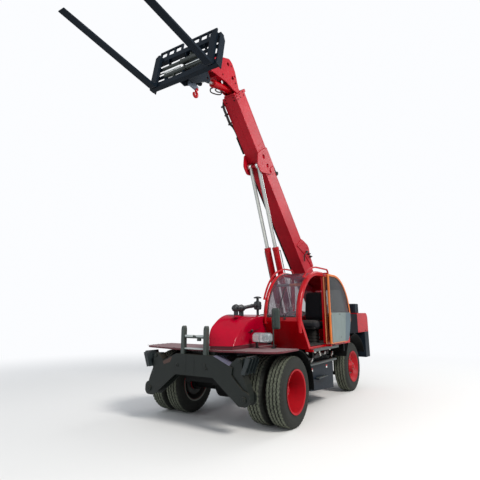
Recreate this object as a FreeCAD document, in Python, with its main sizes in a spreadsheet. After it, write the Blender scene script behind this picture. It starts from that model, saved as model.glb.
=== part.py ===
import FreeCAD, Part
import math
import os
from types import SimpleNamespace
import Sketcher

# Telehandler with dual front wheels, steered rear wheels, a three-section boom and a fork carriage.
# Millimetres. Modelled from the rear axle: X forward, Y to the machine's left, Z up from the ground.
# origin_x below then moves every piece so that the origin lies under the middle of the machine.

DIMENSIONS = [
    # alias, value, what it is
    ("wheelbase", 3400, "rear axle to front axle"),
    ("tyre_radius", 500, "all tyres, outside"),
    ("tyre_width", 280, "all tyres, sidewall to sidewall"),
    ("tyre_tread_width", 224, "flat of the tread"),
    ("tyre_shoulder", 44, "drop from the tread to the sidewall"),
    ("bead_radius", 302, "rim seat, where the tyre starts"),
    ("rim_wall", 12, "rim plate"),
    ("disc_wall", 16, "wheel disc plate"),
    ("dual_gap", 60, "between the two tyres of a front pair"),
    ("front_half_width", 1262, "outer face of the outer front tyre"),
    ("rear_half_width", 1005, "outer face of the rear tyre"),
    ("hub_radius", 130, "wheel hub"),
    ("hand_hole_radius", 30, "holes in the wheel discs"),
    ("hand_holes", 8, "holes in each disc"),
    ("stud_circle", 195, "radius of the ring of hand holes on a disc"),
    ("spindle_radius", 40, "axle spindles inside the hubs"),
    ("running_gap", 0.3, "round pieces that turn or slide in others"),
    ("axle_radius", 95, "axle tubes"),
    ("differential_radius", 190, "housing in the middle of the front axle"),
    ("kingpin_y", 600, "steering axis from the middle"),
    ("kingpin_radius", 24, "steering pins"),
    ("knuckle_height", 280, "knuckle between the yoke arms"),
    ("yoke_plate", 60, "yoke arms, thickness"),
    ("rail_inner", 220, "frame rails, inner face"),
    ("rail_width", 100, "frame rails"),
    ("rail_bottom", 600, "frame rails, underside"),
    ("rail_top", 880, "frame rails, top"),
    ("rail_rear", -690, "rear end of the rails"),
    ("arch_front", 4280, "front face of the front arch"),
    ("arch_depth", 200, "front arch, front to back"),
    ("arch_plate", 20, "front arch, plate thickness"),
    ("arch_top", 1030, "front arch, flat top"),
    ("arch_top_half", 360, "half width of the flat top"),
    ("arch_under", 730, "underside of the middle of the arch"),
    ("leg_pin_y", 890, "stabiliser pins from the middle"),
    ("leg_pin_z", 485, "stabiliser pins above the ground"),
    ("leg_pin_radius", 24, "stabiliser pins"),
    ("lobe_radius", 90, "round end of the arch at a stabiliser pin"),
    ("leg_length", 465, "stabiliser pin to foot pin"),
    ("leg_width", 80, "stabiliser arm across"),
    ("foot_length", 250, "stabiliser foot plate"),
    ("foot_plate", 20, "stabiliser foot plate, thickness"),
    ("foot_reach", 122, "foot pin to the foot plate"),
    ("post_inner", 205, "cradle posts, inner face"),
    ("post_width", 75, "cradle posts"),
    ("post_depth", 80, "cradle posts, front to back"),
    ("post_top", 1450, "cradle posts, top"),
    ("cradle_z", 1285, "middle of the cradle bar"),
    ("cradle_bar", 40, "height of the cradle bar"),
    ("deck_z", 1090, "underside of the deck"),
    ("deck_plate", 12, "deck plate"),
    ("deck_lip", 12, "turned-down edge of the deck"),
    ("deck_half_width", 1296, "half width of the deck"),
    ("deck_front", 4200, "front edge of the deck"),
    ("deck_rear", 2760, "rear edge of the deck, between the mudguards"),
    ("deck_step_x", 3350, "rear edge of the deck over the mudguards"),
    ("deck_step_y", 600, "inner edge of the deck's part over the mudguards"),
    ("deck_block", 120, "width of the blocks between the arch and the deck"),
    ("deck_corner", 260, "corner radius of the deck"),
    ("mudguard_radius", 585, "mudguards behind the front tyres, inside"),
    ("slot_half", 200, "half width of the slot that the boom and its cylinders lie in"),
    ("slot_front", 3640, "front end of that slot in the deck"),
    ("hood_inner", 208, "hood, side next to the boom"),
    ("hood_outer", 572, "hood, side next to the cab"),
    ("hood_front", 4195, "hood nose, at the side next to the boom"),
    ("hood_rear", 3040, "hood, rear end"),
    ("hood_top", 1615, "hood, top"),
    ("hood_wall", 25, "hood walls"),
    ("hood_nose_cab", 4080, "hood nose, at the side next to the cab"),
    ("hood_shoulder_z", 1390, "corner of the nose next to the boom"),
    ("hood_shoulder_cab_z", 1300, "corner of the nose next to the cab"),
    ("cab_inner_y", 490, "cab, right side"),
    ("cab_outer_y", 1180, "cab, left side"),
    ("cab_floor", 1040, "cab, underside"),
    ("cab_top", 2375, "cab, roof"),
    ("cab_front_foot", 2700, "cab, front lower corner"),
    ("cab_front", 3020, "cab, foremost line"),
    ("cab_waist", 1500, "height of the foremost line"),
    ("cab_rear", 570, "cab, rearmost line"),
    ("cab_rear_foot", 640, "cab, rear lower corner"),
    ("cab_front_curve", 870, "radius of the front of the roof"),
    ("cab_rear_curve", 790, "radius of the rear of the roof"),
    ("cab_wall", 50, "cab walls and frames"),
    ("cab_post", 1895, "middle of the door post"),
    ("cab_sill", 1565, "lower edge of the windscreen"),
    ("glass", 6, "window glass"),
    ("door_pin_x", 1915, "door hinge axis"),
    ("door_pin_y", 1250, "door hinge axis from the middle"),
    ("door_pin_radius", 9, "door hinge pins"),
    ("door_frame", 36, "door frame, thickness"),
    ("door_tube", 42, "door frame, width"),
    ("door_bottom", 1090, "door, lower edge"),
    ("door_gap", 6, "closed door to the cab"),
    ("door_waist", 1560, "lower edge of the door window"),
    ("rear_half", 1100, "half width of the rear covers"),
    ("rear_end", -980, "rear face"),
    ("rear_top", 1633, "top of the rear covers"),
    ("rear_split", 1205, "covers above, ballast below"),
    ("ballast_bottom", 635, "underside of the ballast"),
    ("ballast_front", -690, "front face of the ballast"),
    ("cover_front", -200, "front end of the red covers"),
    ("box_front", 420, "front end of the dark side boxes"),
    ("arch_radius", 668, "inside of the rear wheel arches"),
    ("arch_wall", 10, "rear wheel arch plate"),
    ("arch_inner", 430, "inner edge of the rear wheel arches"),
    ("pivot_x", -554, "boom pivot"),
    ("pivot_z", 1752, "boom pivot above the ground"),
    ("pivot_radius", 40, "boom pivot pin"),
    ("tower_inner", 190, "boom tower plates, inner face"),
    ("tower_plate", 30, "boom tower plates"),
    ("boom_angle", 47.25, "boom above the horizontal"),
    ("boom_length", 5600, "pivot to the front end of the outer boom"),
    ("boom_tail", 130, "outer boom behind the pivot"),
    ("boom_half_width", 152, "outer boom"),
    ("boom_below", 200, "pivot to the underside of the outer boom"),
    ("boom_above", 205, "pivot to the top of the outer boom"),
    ("boom_wall", 12, "outer boom plates"),
    ("section_gap", 8, "between telescoping sections"),
    ("section_wall", 8, "plates of the middle and inner booms"),
    ("pad_length", 120, "wear pads at the mouth of a section"),
    ("middle_top", 150, "top of the middle boom above the pivot line"),
    ("inner_top", 108, "top of the inner boom above the pivot line"),
    ("middle_tail", 900, "rear end of the middle boom from the pivot"),
    ("inner_tail", 1100, "rear end of the inner boom from the pivot"),
    ("tray_width", 46, "hose tray beside the boom"),
    ("tray_front", 4790, "front end of the hose tray"),
    ("ear_plate", 23, "lift cylinder ears"),
    ("ear_x", 4130, "lift pin along the boom"),
    ("ear_drop", 270, "lift pin below the pivot line"),
    ("lift_pin_radius", 30, "pins of the lift cylinders"),
    ("lift_base_x", 930, "lower end of the lift cylinders"),
    ("lift_base_z", 850, "lower end of the lift cylinders above the ground"),
    ("lift_y", 95, "lift cylinders from the middle"),
    ("lift_barrel_radius", 65, "lift cylinder barrels"),
    ("lift_rod_radius", 38, "lift cylinder rods"),
    ("lift_barrel_length", 2290, "lift barrels, lower eye to gland"),
    ("head_half_width", 132, "boom head plates, outer face"),
    ("head_plate", 20, "boom head plates"),
    ("tilt_x", 6390, "carriage pivot along the boom"),
    ("tilt_drop", 700, "carriage pivot below the pivot line"),
    ("tilt_pin_radius", 27, "carriage pivot pin"),
    ("tilt_base_x", 5700, "rear pin of the tilt cylinder along the boom"),
    ("tilt_base_drop", 50, "rear pin of the tilt cylinder below the pivot line"),
    ("tilt_barrel_radius", 68, "tilt cylinder barrel"),
    ("tilt_rod_radius", 30, "tilt cylinder rod"),
    ("tilt_barrel_length", 590, "tilt barrel, rear eye to gland"),
    ("fork_angle", 10, "forks above the horizontal"),
    ("tilt_lug_back", 152, "tilt rod pin behind the carriage pivot"),
    ("tilt_lug_drop", 243, "tilt rod pin below the carriage pivot"),
    ("lug_half", 100, "carriage hanger plates, outer face"),
    ("lug_plate", 24, "carriage hanger plates"),
    ("carriage_x", 290, "back of the carriage bars from the pivot"),
    ("carriage_half", 730, "half width of the carriage"),
    ("bar_depth", 90, "carriage bars, front to back"),
    ("bar_height", 100, "carriage bars"),
    ("lower_bar_z", -550, "middle of the lower bar from the pivot"),
    ("upper_bar_z", 0, "middle of the upper bar from the pivot"),
    ("side_plate", 25, "plates at the ends of the carriage"),
    ("guard_height", 140, "load guards above the upper bar"),
    ("guard_tube", 32, "load guard tube, square"),
    ("fork_y", 615, "fork from the middle"),
    ("fork_width", 125, "fork blades"),
    ("fork_thickness", 50, "fork blades and shanks"),
    ("fork_tip", 16, "fork blade thickness at the tip"),
    ("fork_length", 1807, "fork blades from the front of the shank"),
    ("fork_drop", 620, "underside of the blades below the carriage pivot"),
    ("cleat", 40, "ribs under a stabiliser foot"),
    ("foot_pin_y", 800, "foot pins from the middle, legs folded"),
    ("foot_pin_z", 980, "foot pins above the ground, legs folded"),
    ("foot_lean", 21.6, "folded foot, sole below the horizontal"),
    ("foot_pin_radius", 20, "foot pins"),
    ("tower_pin_half", 220, "half length of the boom pivot pin"),
    ("lift_bore_start", 90, "closed end of the lift barrels from the lower eye"),
    ("lift_rod_length", 2540, "lift rods, pin to piston"),
    ("tilt_bore_start", 90, "closed end of the tilt barrel from its eye"),
    ("stroke", 3600, "travel of each telescoping section"),
    ("seat_gap", 0.3, "soft or curved pieces from what carries them"),
]


class Measure:
    """A size that knows its number and the sheet expression that gives it."""

    def __init__(self, text, number):
        self.text = text
        self.number = number

    def __float__(self):
        return float(self.number)

    def __add__(self, other):
        other = measure(other)
        return Measure(f"({self.text} + {other.text})", self.number + other.number)

    def __sub__(self, other):
        other = measure(other)
        return Measure(f"({self.text} - {other.text})", self.number - other.number)

    def __mul__(self, other):
        other = measure(other)
        return Measure(f"({self.text} * {other.text})", self.number * other.number)

    def __truediv__(self, other):
        other = measure(other)
        return Measure(f"({self.text} / {other.text})", self.number / other.number)

    def __radd__(self, other):
        return measure(other) + self

    def __rsub__(self, other):
        return measure(other) - self

    def __rmul__(self, other):
        return measure(other) * self

    def __neg__(self):
        return measure(0) - self


def measure(value):
    """A plain number becomes a Measure, and a Measure stays one."""
    if isinstance(value, Measure):
        return value
    return Measure(f"({float(value):.6f})", float(value))


def sine(angle):
    """The sine of an angle in degrees."""
    return Measure(f"sin({angle.text})", math.sin(math.radians(angle.number)))


def cosine(angle):
    """The cosine of an angle in degrees."""
    return Measure(f"cos({angle.text})", math.cos(math.radians(angle.number)))


def heading(run, rise):
    """The angle above the horizontal of a line with this run and rise."""
    return Measure(f"atan2({rise.text}; {run.text})", math.degrees(math.atan2(rise.number, run.number)))


def span(run, rise):
    """The length of a line with this run and rise."""
    return Measure(f"sqrt({run.text} ^ 2 + {rise.text} ^ 2)", math.hypot(run.number, rise.number))


doc = FreeCAD.newDocument("telehandler")
sheet = doc.addObject("Spreadsheet::Sheet", "Sizes")
size = SimpleNamespace()
for row, (alias, value, note) in enumerate(DIMENSIONS, start=1):
    sheet.set(f"A{row}", alias)
    sheet.set(f"B{row}", str(value))
    sheet.set(f"C{row}", note)
    sheet.setAlias(f"B{row}", alias)
    setattr(size, alias, Measure(f"Sizes.{alias}", value))
doc.recompute()

nodes = []


# Drawing helpers

def bind(thing, prop, value):
    """Ties one property of a document object to a size."""
    thing.setExpression(prop, measure(value).text)


def place(thing, x=0, y=0, z=0, turn=None):
    """Puts a piece at a point, pitched up by the angle turn about the Y axis."""
    x, y, z = measure(x), measure(y), measure(z)
    spin = FreeCAD.Rotation(FreeCAD.Vector(0, -1, 0), float(turn) if turn is not None else 0)
    thing.Placement = FreeCAD.Placement(FreeCAD.Vector(float(x), float(y), float(z)), spin)
    bind(thing, "Placement.Base.x", x)
    bind(thing, "Placement.Base.y", y)
    bind(thing, "Placement.Base.z", z)
    if turn is not None:
        bind(thing, "Placement.Rotation.Angle", turn)


def new_body(label):
    """An empty body that becomes one node."""
    body = doc.addObject("PartDesign::Body", label)
    body.Label = label
    body.AllowCompound = True
    nodes.append(body)
    return body


def origin_feature(body, role):
    """One plane or axis of a body's own origin."""
    return next(item for item in body.Origin.OriginFeatures if item.Role == role)


def sketch_on(body, plane, offset, outlines, rings=()):
    """A sketch on one of the body's planes, moved along its normal, with every corner bound.

    An outline is a list of corners (across, up) or (across, up, radius). A ring is (across, up, radius).
    """
    sketch = body.newObject("Sketcher::SketchObject", f"{body.Label}_sketch")
    sketch.AttachmentSupport = [(origin_feature(body, plane), "")]
    sketch.MapMode = "FlatFace"
    sketch.AttachmentOffset = FreeCAD.Placement(
        FreeCAD.Vector(0, 0, float(offset)), FreeCAD.Rotation())
    bind(sketch, "AttachmentOffset.Base.z", offset)
    for corners in outlines:
        draw_outline(sketch, corners)
    for across, up, radius in rings:
        circle = Part.Circle(FreeCAD.Vector(float(across), float(up), 0), FreeCAD.Vector(0, 0, 1), float(radius))
        index = sketch.addGeometry(circle, False)
        pin_point(sketch, index, 3, across, up)
        pin_radius(sketch, index, radius)
    return sketch


def pin_point(sketch, index, point, across, up):
    """Holds one point of a sketch at bound distances from the origin."""
    for kind, value in (("DistanceX", measure(across)), ("DistanceY", measure(up))):
        rule = sketch.addConstraint(Sketcher.Constraint(kind, index, point, float(value)))
        bind(sketch, f"Constraints[{rule}]", value)


def pin_radius(sketch, index, radius):
    """Holds the radius of a circle or arc at a bound size."""
    rule = sketch.addConstraint(Sketcher.Constraint("Radius", index, float(radius)))
    bind(sketch, f"Constraints[{rule}]", radius)


def draw_outline(sketch, corners):
    """Straight lines between corners, with a tangent arc at each corner that gives a radius."""
    points = [FreeCAD.Vector(float(c[0]), float(c[1]), 0) for c in corners]
    radii = [float(c[2]) if len(c) > 2 else 0.0 for c in corners]
    count = len(corners)
    starts, ends, arcs = list(points), list(points), [None] * count
    for i in range(count):
        if not radii[i]:
            continue
        back = (points[i] - points[i - 1]).normalize()
        ahead = (points[(i + 1) % count] - points[i]).normalize()
        cross = back.cross(ahead).z
        turn = math.atan2(abs(cross), back.dot(ahead))
        run = radii[i] * math.tan(turn / 2)
        left = 1 if cross > 0 else -1
        ends[i] = points[i] - back * run
        starts[i] = points[i] + ahead * run
        centre = ends[i] + FreeCAD.Vector(-back.y, back.x, 0) * radii[i] * left
        first, last = (ends[i], starts[i]) if left > 0 else (starts[i], ends[i])
        begin = math.atan2(first.y - centre.y, first.x - centre.x)
        arcs[i] = (Part.ArcOfCircle(Part.Circle(centre, FreeCAD.Vector(0, 0, 1), radii[i]), begin, begin + turn),
                   left)
    lines = []
    for i in range(count):
        lines.append(sketch.addGeometry(Part.LineSegment(starts[i], ends[(i + 1) % count]), False))
    for i in range(count):
        before, after = lines[i - 1], lines[i]
        if arcs[i] is None:
            sketch.addConstraint(Sketcher.Constraint("Coincident", before, 2, after, 1))
            pin_point(sketch, after, 1, corners[i][0], corners[i][1])
            continue
        arc, left = arcs[i]
        index = sketch.addGeometry(arc, False)
        first, last = (1, 2) if left > 0 else (2, 1)
        sketch.addConstraint(Sketcher.Constraint("Tangent", before, 2, index, first))
        sketch.addConstraint(Sketcher.Constraint("Tangent", index, last, after, 1))
        pin_radius(sketch, index, corners[i][2])
        mark = sketch.addGeometry(Part.Point(points[i]), True)
        sketch.addConstraint(Sketcher.Constraint("PointOnObject", mark, 1, before))
        sketch.addConstraint(Sketcher.Constraint("PointOnObject", mark, 1, after))
        pin_point(sketch, mark, 1, corners[i][0], corners[i][1])


# XZ sketches face -Y, so their offsets and directions are turned round here
SIDES = {"XZ_Plane": -1, "YZ_Plane": 1, "XY_Plane": 1}


def pad(body, plane, outlines, low, high, rings=()):
    """Adds a prism between two distances along the plane's axis."""
    low, high = measure(low), measure(high)
    offset = low if SIDES[plane] > 0 else -high
    feature = body.newObject("PartDesign::Pad", f"{body.Label}_pad")
    feature.Profile = sketch_on(body, plane, offset, outlines, rings)
    feature.Length = float(high - low)
    bind(feature, "Length", high - low)
    body.Tip = feature
    return feature


def cut(body, plane, outlines, low, high, rings=()):
    """Takes away a prism between two distances along the plane's axis."""
    low, high = measure(low), measure(high)
    offset = high if SIDES[plane] > 0 else -low
    doc.recompute()
    before = body.Shape.Volume
    feature = body.newObject("PartDesign::Pocket", f"{body.Label}_cut")
    feature.Profile = sketch_on(body, plane, offset, outlines, rings)
    feature.Length = float(high - low)
    bind(feature, "Length", high - low)
    body.Tip = feature
    doc.recompute()
    if body.Shape.Volume >= before - 1:
        raise RuntimeError(f"a cut in {body.Label} takes nothing away")
    return feature


def loft(body, kind, near_outline, far_outline, near, far):
    """Straight-lined body between two outlines at two distances along the Y axis, added or taken away."""
    near, far = measure(near), measure(far)
    feature = body.newObject(f"PartDesign::{kind}Loft", f"{body.Label}_loft")
    feature.Profile = sketch_on(body, "XZ_Plane", -near, [near_outline])
    feature.Sections = [sketch_on(body, "XZ_Plane", -far, [far_outline])]
    feature.Ruled = True
    body.Tip = feature
    return feature


def revolve(body, corners, groove=False):
    """Turns an outline (along the axis, radius) about the Y axis, added or taken away."""
    kind = "PartDesign::Groove" if groove else "PartDesign::Revolution"
    feature = body.newObject(kind, f"{body.Label}_turned")
    sketch = sketch_on(body, "YZ_Plane", 0, [corners])
    feature.Profile = sketch
    feature.ReferenceAxis = (sketch, ["H_Axis"])
    feature.Angle = 360
    body.Tip = feature
    return feature


def ring_of(body, feature, count):
    """Repeats a feature round the Y axis."""
    doc.recompute()
    pattern = body.newObject("PartDesign::PolarPattern", f"{body.Label}_ring")
    pattern.Originals = [feature]
    pattern.Axis = (origin_feature(body, "Y_Axis"), [""])
    pattern.Angle = 360
    pattern.Occurrences = int(float(count))
    bind(pattern, "Occurrences", count)
    body.Tip = pattern
    return pattern


def rectangle(left, bottom, right, top, radius=None):
    """Corners of an upright rectangle."""
    corners = [(left, bottom), (right, bottom), (right, top), (left, top)]
    if radius is None:
        return corners
    return [(across, up, radius) for across, up in corners]


# Places that several pieces share

pin_x = size.pivot_x
pin_z = size.pivot_z
along = cosine(size.boom_angle)
rising = sine(size.boom_angle)


def on_boom(x, z):
    """A point given along and above the boom's pivot line, in the machine's own frame."""
    return pin_x + x * along - z * rising, pin_z + x * rising + z * along


tilt_pin_x, tilt_pin_z = on_boom(size.tilt_x, -size.tilt_drop)
fork_out = size.carriage_x + size.bar_depth + size.fork_thickness + size.fork_length
fork_end = tilt_pin_x + fork_out * cosine(size.fork_angle) + size.fork_drop * sine(size.fork_angle)
origin_x = (fork_end + size.rear_end) / 2


# Wheels

def tyre(body, middle):
    """One tyre about the Y axis, its middle plane at the given distance."""
    half, tread = size.tyre_width / 2, size.tyre_tread_width / 2
    sidewall = size.tyre_radius - size.tyre_shoulder
    bead = size.bead_radius + size.running_gap
    revolve(body, [
        (middle - half, bead), (middle + half, bead), (middle + half, sidewall),
        (middle + tread, size.tyre_radius), (middle - tread, size.tyre_radius), (middle - half, sidewall)])


front_outer = size.front_half_width - size.tyre_width / 2
front_inner = front_outer - size.tyre_width - size.dual_gap
front_middle = (front_outer + front_inner) / 2
rear_middle = size.rear_half_width - size.tyre_width / 2
hub_bore = size.spindle_radius + size.running_gap


def front_wheel(name, side):
    """A pair of tyres on two dished rims, bolted back to back on one hub."""
    tyres = new_body(f"{name}_tyres")
    tyre(tyres, side * front_outer)
    tyre(tyres, side * front_inner)
    place(tyres, size.wheelbase - origin_x, 0, size.tyre_radius)
    rims = new_body(f"{name}_rims")
    seat, wall = size.bead_radius, size.rim_wall
    far = size.tyre_width / 2 - 8
    # barrel of both rims: outer edge, deep dish, disc and hub
    revolve(rims, [
        (side * (front_outer + far), seat - wall), (side * (front_outer + far), seat),
        (side * (front_inner - far), seat), (side * (front_inner - far), seat - wall),
        (side * (front_middle - size.disc_wall), seat - 2 * wall),
        (side * (front_middle - size.disc_wall), size.hub_radius),
        (side * (front_inner - far + 40), size.hub_radius), (side * (front_inner - far + 40), hub_bore),
        (side * (front_middle + 35), hub_bore), (side * (front_middle + 35), 0),
        (side * (front_middle + 150), 0), (side * (front_middle + 150), size.hub_radius * 0.62),
        (side * (front_middle + 50), size.hub_radius * 0.8),
        (side * (front_middle + size.disc_wall), size.hub_radius),
        (side * (front_middle + size.disc_wall), seat - 4 * wall)])
    reach = size.disc_wall + 20
    low, high = (front_middle - reach, front_middle + reach) if side > 0 else (
        -front_middle - reach, reach - front_middle)
    hole = cut(rims, "XZ_Plane", [], low, high, [(size.stud_circle, 0, size.hand_hole_radius)])
    ring_of(rims, hole, size.hand_holes)
    place(rims, size.wheelbase - origin_x, 0, size.tyre_radius)


def rear_wheel(name, side):
    """A single steered wheel with its disc near the outer edge and a domed hub."""
    tyres = new_body(f"{name}_tyre")
    tyre(tyres, side * rear_middle)
    place(tyres, -origin_x, 0, size.tyre_radius)
    rim = new_body(f"{name}_rim")
    seat, wall = size.bead_radius, size.rim_wall
    far = size.tyre_width / 2 - 8
    disc = rear_middle + 40
    revolve(rim, [
        (side * (rear_middle + far), seat - wall), (side * (rear_middle + far), seat),
        (side * (rear_middle - far), seat), (side * (rear_middle - far), seat - wall),
        (side * (disc - size.disc_wall), seat - 2 * wall),
        (side * (disc - size.disc_wall), size.hub_radius),
        (side * (rear_middle - far + 20), size.hub_radius), (side * (rear_middle - far + 20), hub_bore),
        (side * (disc + 10), hub_bore), (side * (disc + 10), 0),
        (side * (disc + 90), 0), (side * (disc + 90), size.hub_radius * 0.6),
        (side * (disc + 40), size.hub_radius * 0.8),
        (side * disc, size.hub_radius), (side * (disc + 15), seat - 5 * wall)])
    low, high = (disc - 40, disc + 40) if side > 0 else (-disc - 40, 40 - disc)
    hole = cut(rim, "XZ_Plane", [], low, high, [(size.stud_circle, 0, size.hand_hole_radius)])
    ring_of(rim, hole, size.hand_holes)
    place(rim, -origin_x, 0, size.tyre_radius)


for side, word in ((1, "left"), (-1, "right")):
    front_wheel(f"front_{word}", side)
for side, word in ((1, "left"), (-1, "right")):
    rear_wheel(f"rear_{word}", side)


# Axles and knuckles

def front_axle():
    """Rigid drive axle bolted under the rails, with its differential housing and spindles."""
    body = new_body("front_axle")
    spindle_end = front_middle + 30
    flange = front_inner - size.tyre_width / 2
    revolve(body, [
        (-spindle_end, 0), (spindle_end, 0), (spindle_end, size.spindle_radius),
        (flange, size.spindle_radius), (flange, size.hub_radius), (flange - 60, size.hub_radius),
        (flange - 60, size.axle_radius), (size.differential_radius, size.axle_radius),
        (size.differential_radius * 0.5, size.differential_radius),
        (-size.differential_radius * 0.5, size.differential_radius),
        (-size.differential_radius, size.axle_radius), (60 - flange, size.axle_radius),
        (60 - flange, size.hub_radius), (-flange, size.hub_radius), (-flange, size.spindle_radius),
        (-spindle_end, size.spindle_radius)])
    for side in (1, -1):
        near, far = size.rail_inner + 5, size.rail_inner + size.rail_width - 5
        low, high = (near, far) if side > 0 else (-far, -near)
        pad(body, "XZ_Plane", [rectangle(-90, 0, 90, size.rail_bottom - size.tyre_radius)], low, high)
    place(body, size.wheelbase - origin_x, 0, size.tyre_radius)


def rear_axle():
    """Steering axle beam with a yoke at each end for the knuckles."""
    body = new_body("rear_axle")
    half = size.knuckle_height / 2
    reach = size.kingpin_y + 55
    yoke = size.kingpin_y - 95
    top = half + size.yoke_plate
    pad(body, "YZ_Plane", [[
        (-reach, half), (-reach, top), (-yoke, top), (-yoke + 60, size.axle_radius),
        (yoke - 60, size.axle_radius), (yoke, top), (reach, top), (reach, half), (yoke, half),
        (yoke, -half), (reach, -half), (reach, -top), (yoke, -top), (yoke - 60, -size.axle_radius),
        (-yoke + 60, -size.axle_radius), (-yoke, -top), (-reach, -top), (-reach, -half),
        (-yoke, -half), (-yoke, half)]], -70, 70)
    cut(body, "XY_Plane", [], -top - 1, top + 1,
        [(0, side * size.kingpin_y, size.kingpin_radius + size.running_gap) for side in (1, -1)])
    for side in (1, -1):
        near, far = size.rail_inner + 5, size.rail_inner + size.rail_width - 5
        low, high = (near, far) if side > 0 else (-far, -near)
        pad(body, "XZ_Plane", [rectangle(-70, 0, 70, size.rail_bottom - size.tyre_radius)], low, high)
    place(body, -origin_x, 0, size.tyre_radius)


def knuckle(word, side):
    """Steered knuckle: an upright block with a kingpin, a flange and the wheel's spindle."""
    body = new_body(f"knuckle_{word}")
    half = size.knuckle_height / 2 - 0.5
    top = size.knuckle_height / 2 + size.yoke_plate
    middle = side * size.kingpin_y
    pad(body, "XY_Plane", [], -half, half, [(0, middle, 52)])
    pad(body, "XY_Plane", [], -top, top, [(0, middle, size.kingpin_radius)])
    flange = size.kingpin_y + 62
    inner_face = rear_middle - size.tyre_width / 2 + 8 + 20
    revolve(body, [
        (side * (size.kingpin_y + 10), 0), (side * (rear_middle + 45), 0),
        (side * (rear_middle + 45), size.spindle_radius), (side * (inner_face - 2), size.spindle_radius),
        (side * (inner_face - 2), size.hub_radius - 5), (side * flange, size.hub_radius - 5),
        (side * (size.kingpin_y + 10), 60)])
    place(body, -origin_x, 0, size.tyre_radius)


front_axle()
rear_axle()
knuckle("left", 1)
knuckle("right", -1)


# Frame, front arch and cradle

def frame():
    """Two box rails tied by cross members."""
    body = new_body("frame")
    far = size.rail_inner + size.rail_width
    arch_back = size.arch_front - size.arch_depth
    for rear, front, bottom, top in (
            (arch_back - 260, arch_back, size.rail_bottom + 20, size.rail_top - 60),
            (measure(500), measure(580), size.rail_bottom, size.rail_top),
            (size.rail_rear, size.rail_rear + 80, size.rail_bottom, size.rail_top)):
        pad(body, "XZ_Plane", [rectangle(rear, bottom, front, top)], -far, far)
    for side in (1, -1):
        low, high = (size.rail_inner, far) if side > 0 else (-far, -size.rail_inner)
        pad(body, "XZ_Plane", [rectangle(size.rail_rear, size.rail_bottom, arch_back, size.rail_top)], low, high)
    # lower mounts of the lift cylinders, a pair of plates and a middle web
    mount_low, mount_high = size.lift_base_z - 90, size.lift_base_z + 90
    clear = size.lift_y + size.lift_barrel_radius + 5
    web = size.lift_y - size.lift_barrel_radius - 5
    outline = [(measure(579), size.rail_bottom), (size.lift_base_x + 20, size.rail_bottom + 100),
               (size.lift_base_x + 90, mount_low + 40, 40), (size.lift_base_x + 90, mount_high, 60),
               (size.lift_base_x - 90, mount_high, 60), (measure(579), size.rail_top - 40)]
    pad(body, "XZ_Plane", [outline], -web, web)
    for side in (1, -1):
        low, high = (clear, size.rail_inner + 1) if side > 0 else (-size.rail_inner - 1, -clear)
        pad(body, "XZ_Plane", [outline], low, high)
    place(body, -origin_x)


def front_arch():
    """Box beam across the front, whose ends come down to the stabiliser pins."""
    body = new_body("front_arch")
    front, depth, plate = size.arch_front, size.arch_depth, size.arch_plate
    pin_y, pin_up, lobe = size.leg_pin_y, size.leg_pin_z, size.lobe_radius
    slope_y, slope_z = 700, 885

    def outline(inset):
        """The arch seen from the front, moved inwards."""
        half = [
            (size.arch_top_half - inset * 0.4, size.arch_top - inset), (slope_y - inset, slope_z - inset),
            (slope_y - 15 - inset, 790), (pin_y - 20, pin_up + lobe + 30, 60),
            (pin_y + lobe, pin_up + lobe, 80), (pin_y + lobe, pin_up - lobe, 80),
            (pin_y - lobe, pin_up - lobe, 80), (size.arch_top_half, size.arch_under + inset, 60)]
        return half + [(-corner[0], *corner[1:]) for corner in reversed(half)]

    for low in (front - plate, front - depth):
        pad(body, "YZ_Plane", [outline(measure(0))], low, low + plate)
    pad(body, "YZ_Plane", [], front - depth - 15, front + 15,
        [(side * pin_y, pin_up, size.leg_pin_radius) for side in (1, -1)])
    # top and bottom plates between the two faces, clear of the folded legs
    edge, drop = size.arch_top_half + 280, size.arch_top - 120
    top = [(-edge, drop), (-size.arch_top_half, size.arch_top), (size.arch_top_half, size.arch_top), (edge, drop),
           (edge, drop - plate), (size.arch_top_half, size.arch_top - plate),
           (-size.arch_top_half, size.arch_top - plate), (-edge, drop - plate)]
    pad(body, "YZ_Plane", [top], front - depth + plate, front - plate)
    # blocks that carry the front of the deck
    block_end = size.deck_front - size.deck_plate
    near, far = size.post_inner + 5, size.post_inner + 5 + size.deck_block
    pad(body, "XY_Plane", [rectangle(front - depth, near, block_end, far),
                           rectangle(front - depth, -far, block_end, -near)], size.arch_top, size.deck_z)
    pad(body, "YZ_Plane", [rectangle(-size.arch_top_half, size.arch_under, size.arch_top_half,
                                     size.arch_under + plate)], front - depth + plate, front - plate)
    place(body, -origin_x)


def boom_cradle():
    """Two posts and a bar on the arch, where the lowered boom lies."""
    body = new_body("boom_cradle")
    rear = size.arch_front - size.post_depth
    low, high = size.cradle_z - size.cradle_bar / 2, size.cradle_z + size.cradle_bar / 2
    near, far = size.post_inner, size.post_inner + size.post_width
    pad(body, "YZ_Plane", [rectangle(-near - 5, low, near + 5, high)], rear, size.arch_front - 20)
    for side in (1, -1):
        inner, outer = side * near, side * far
        pad(body, "YZ_Plane", [[(inner, size.arch_top), (outer, size.arch_top),
                                (outer, size.post_top, 30), (inner, size.post_top, 30)]], rear, size.arch_front)
    place(body, -origin_x)


frame()
front_arch()
boom_cradle()


# Deck, hood and what stands on them

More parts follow.
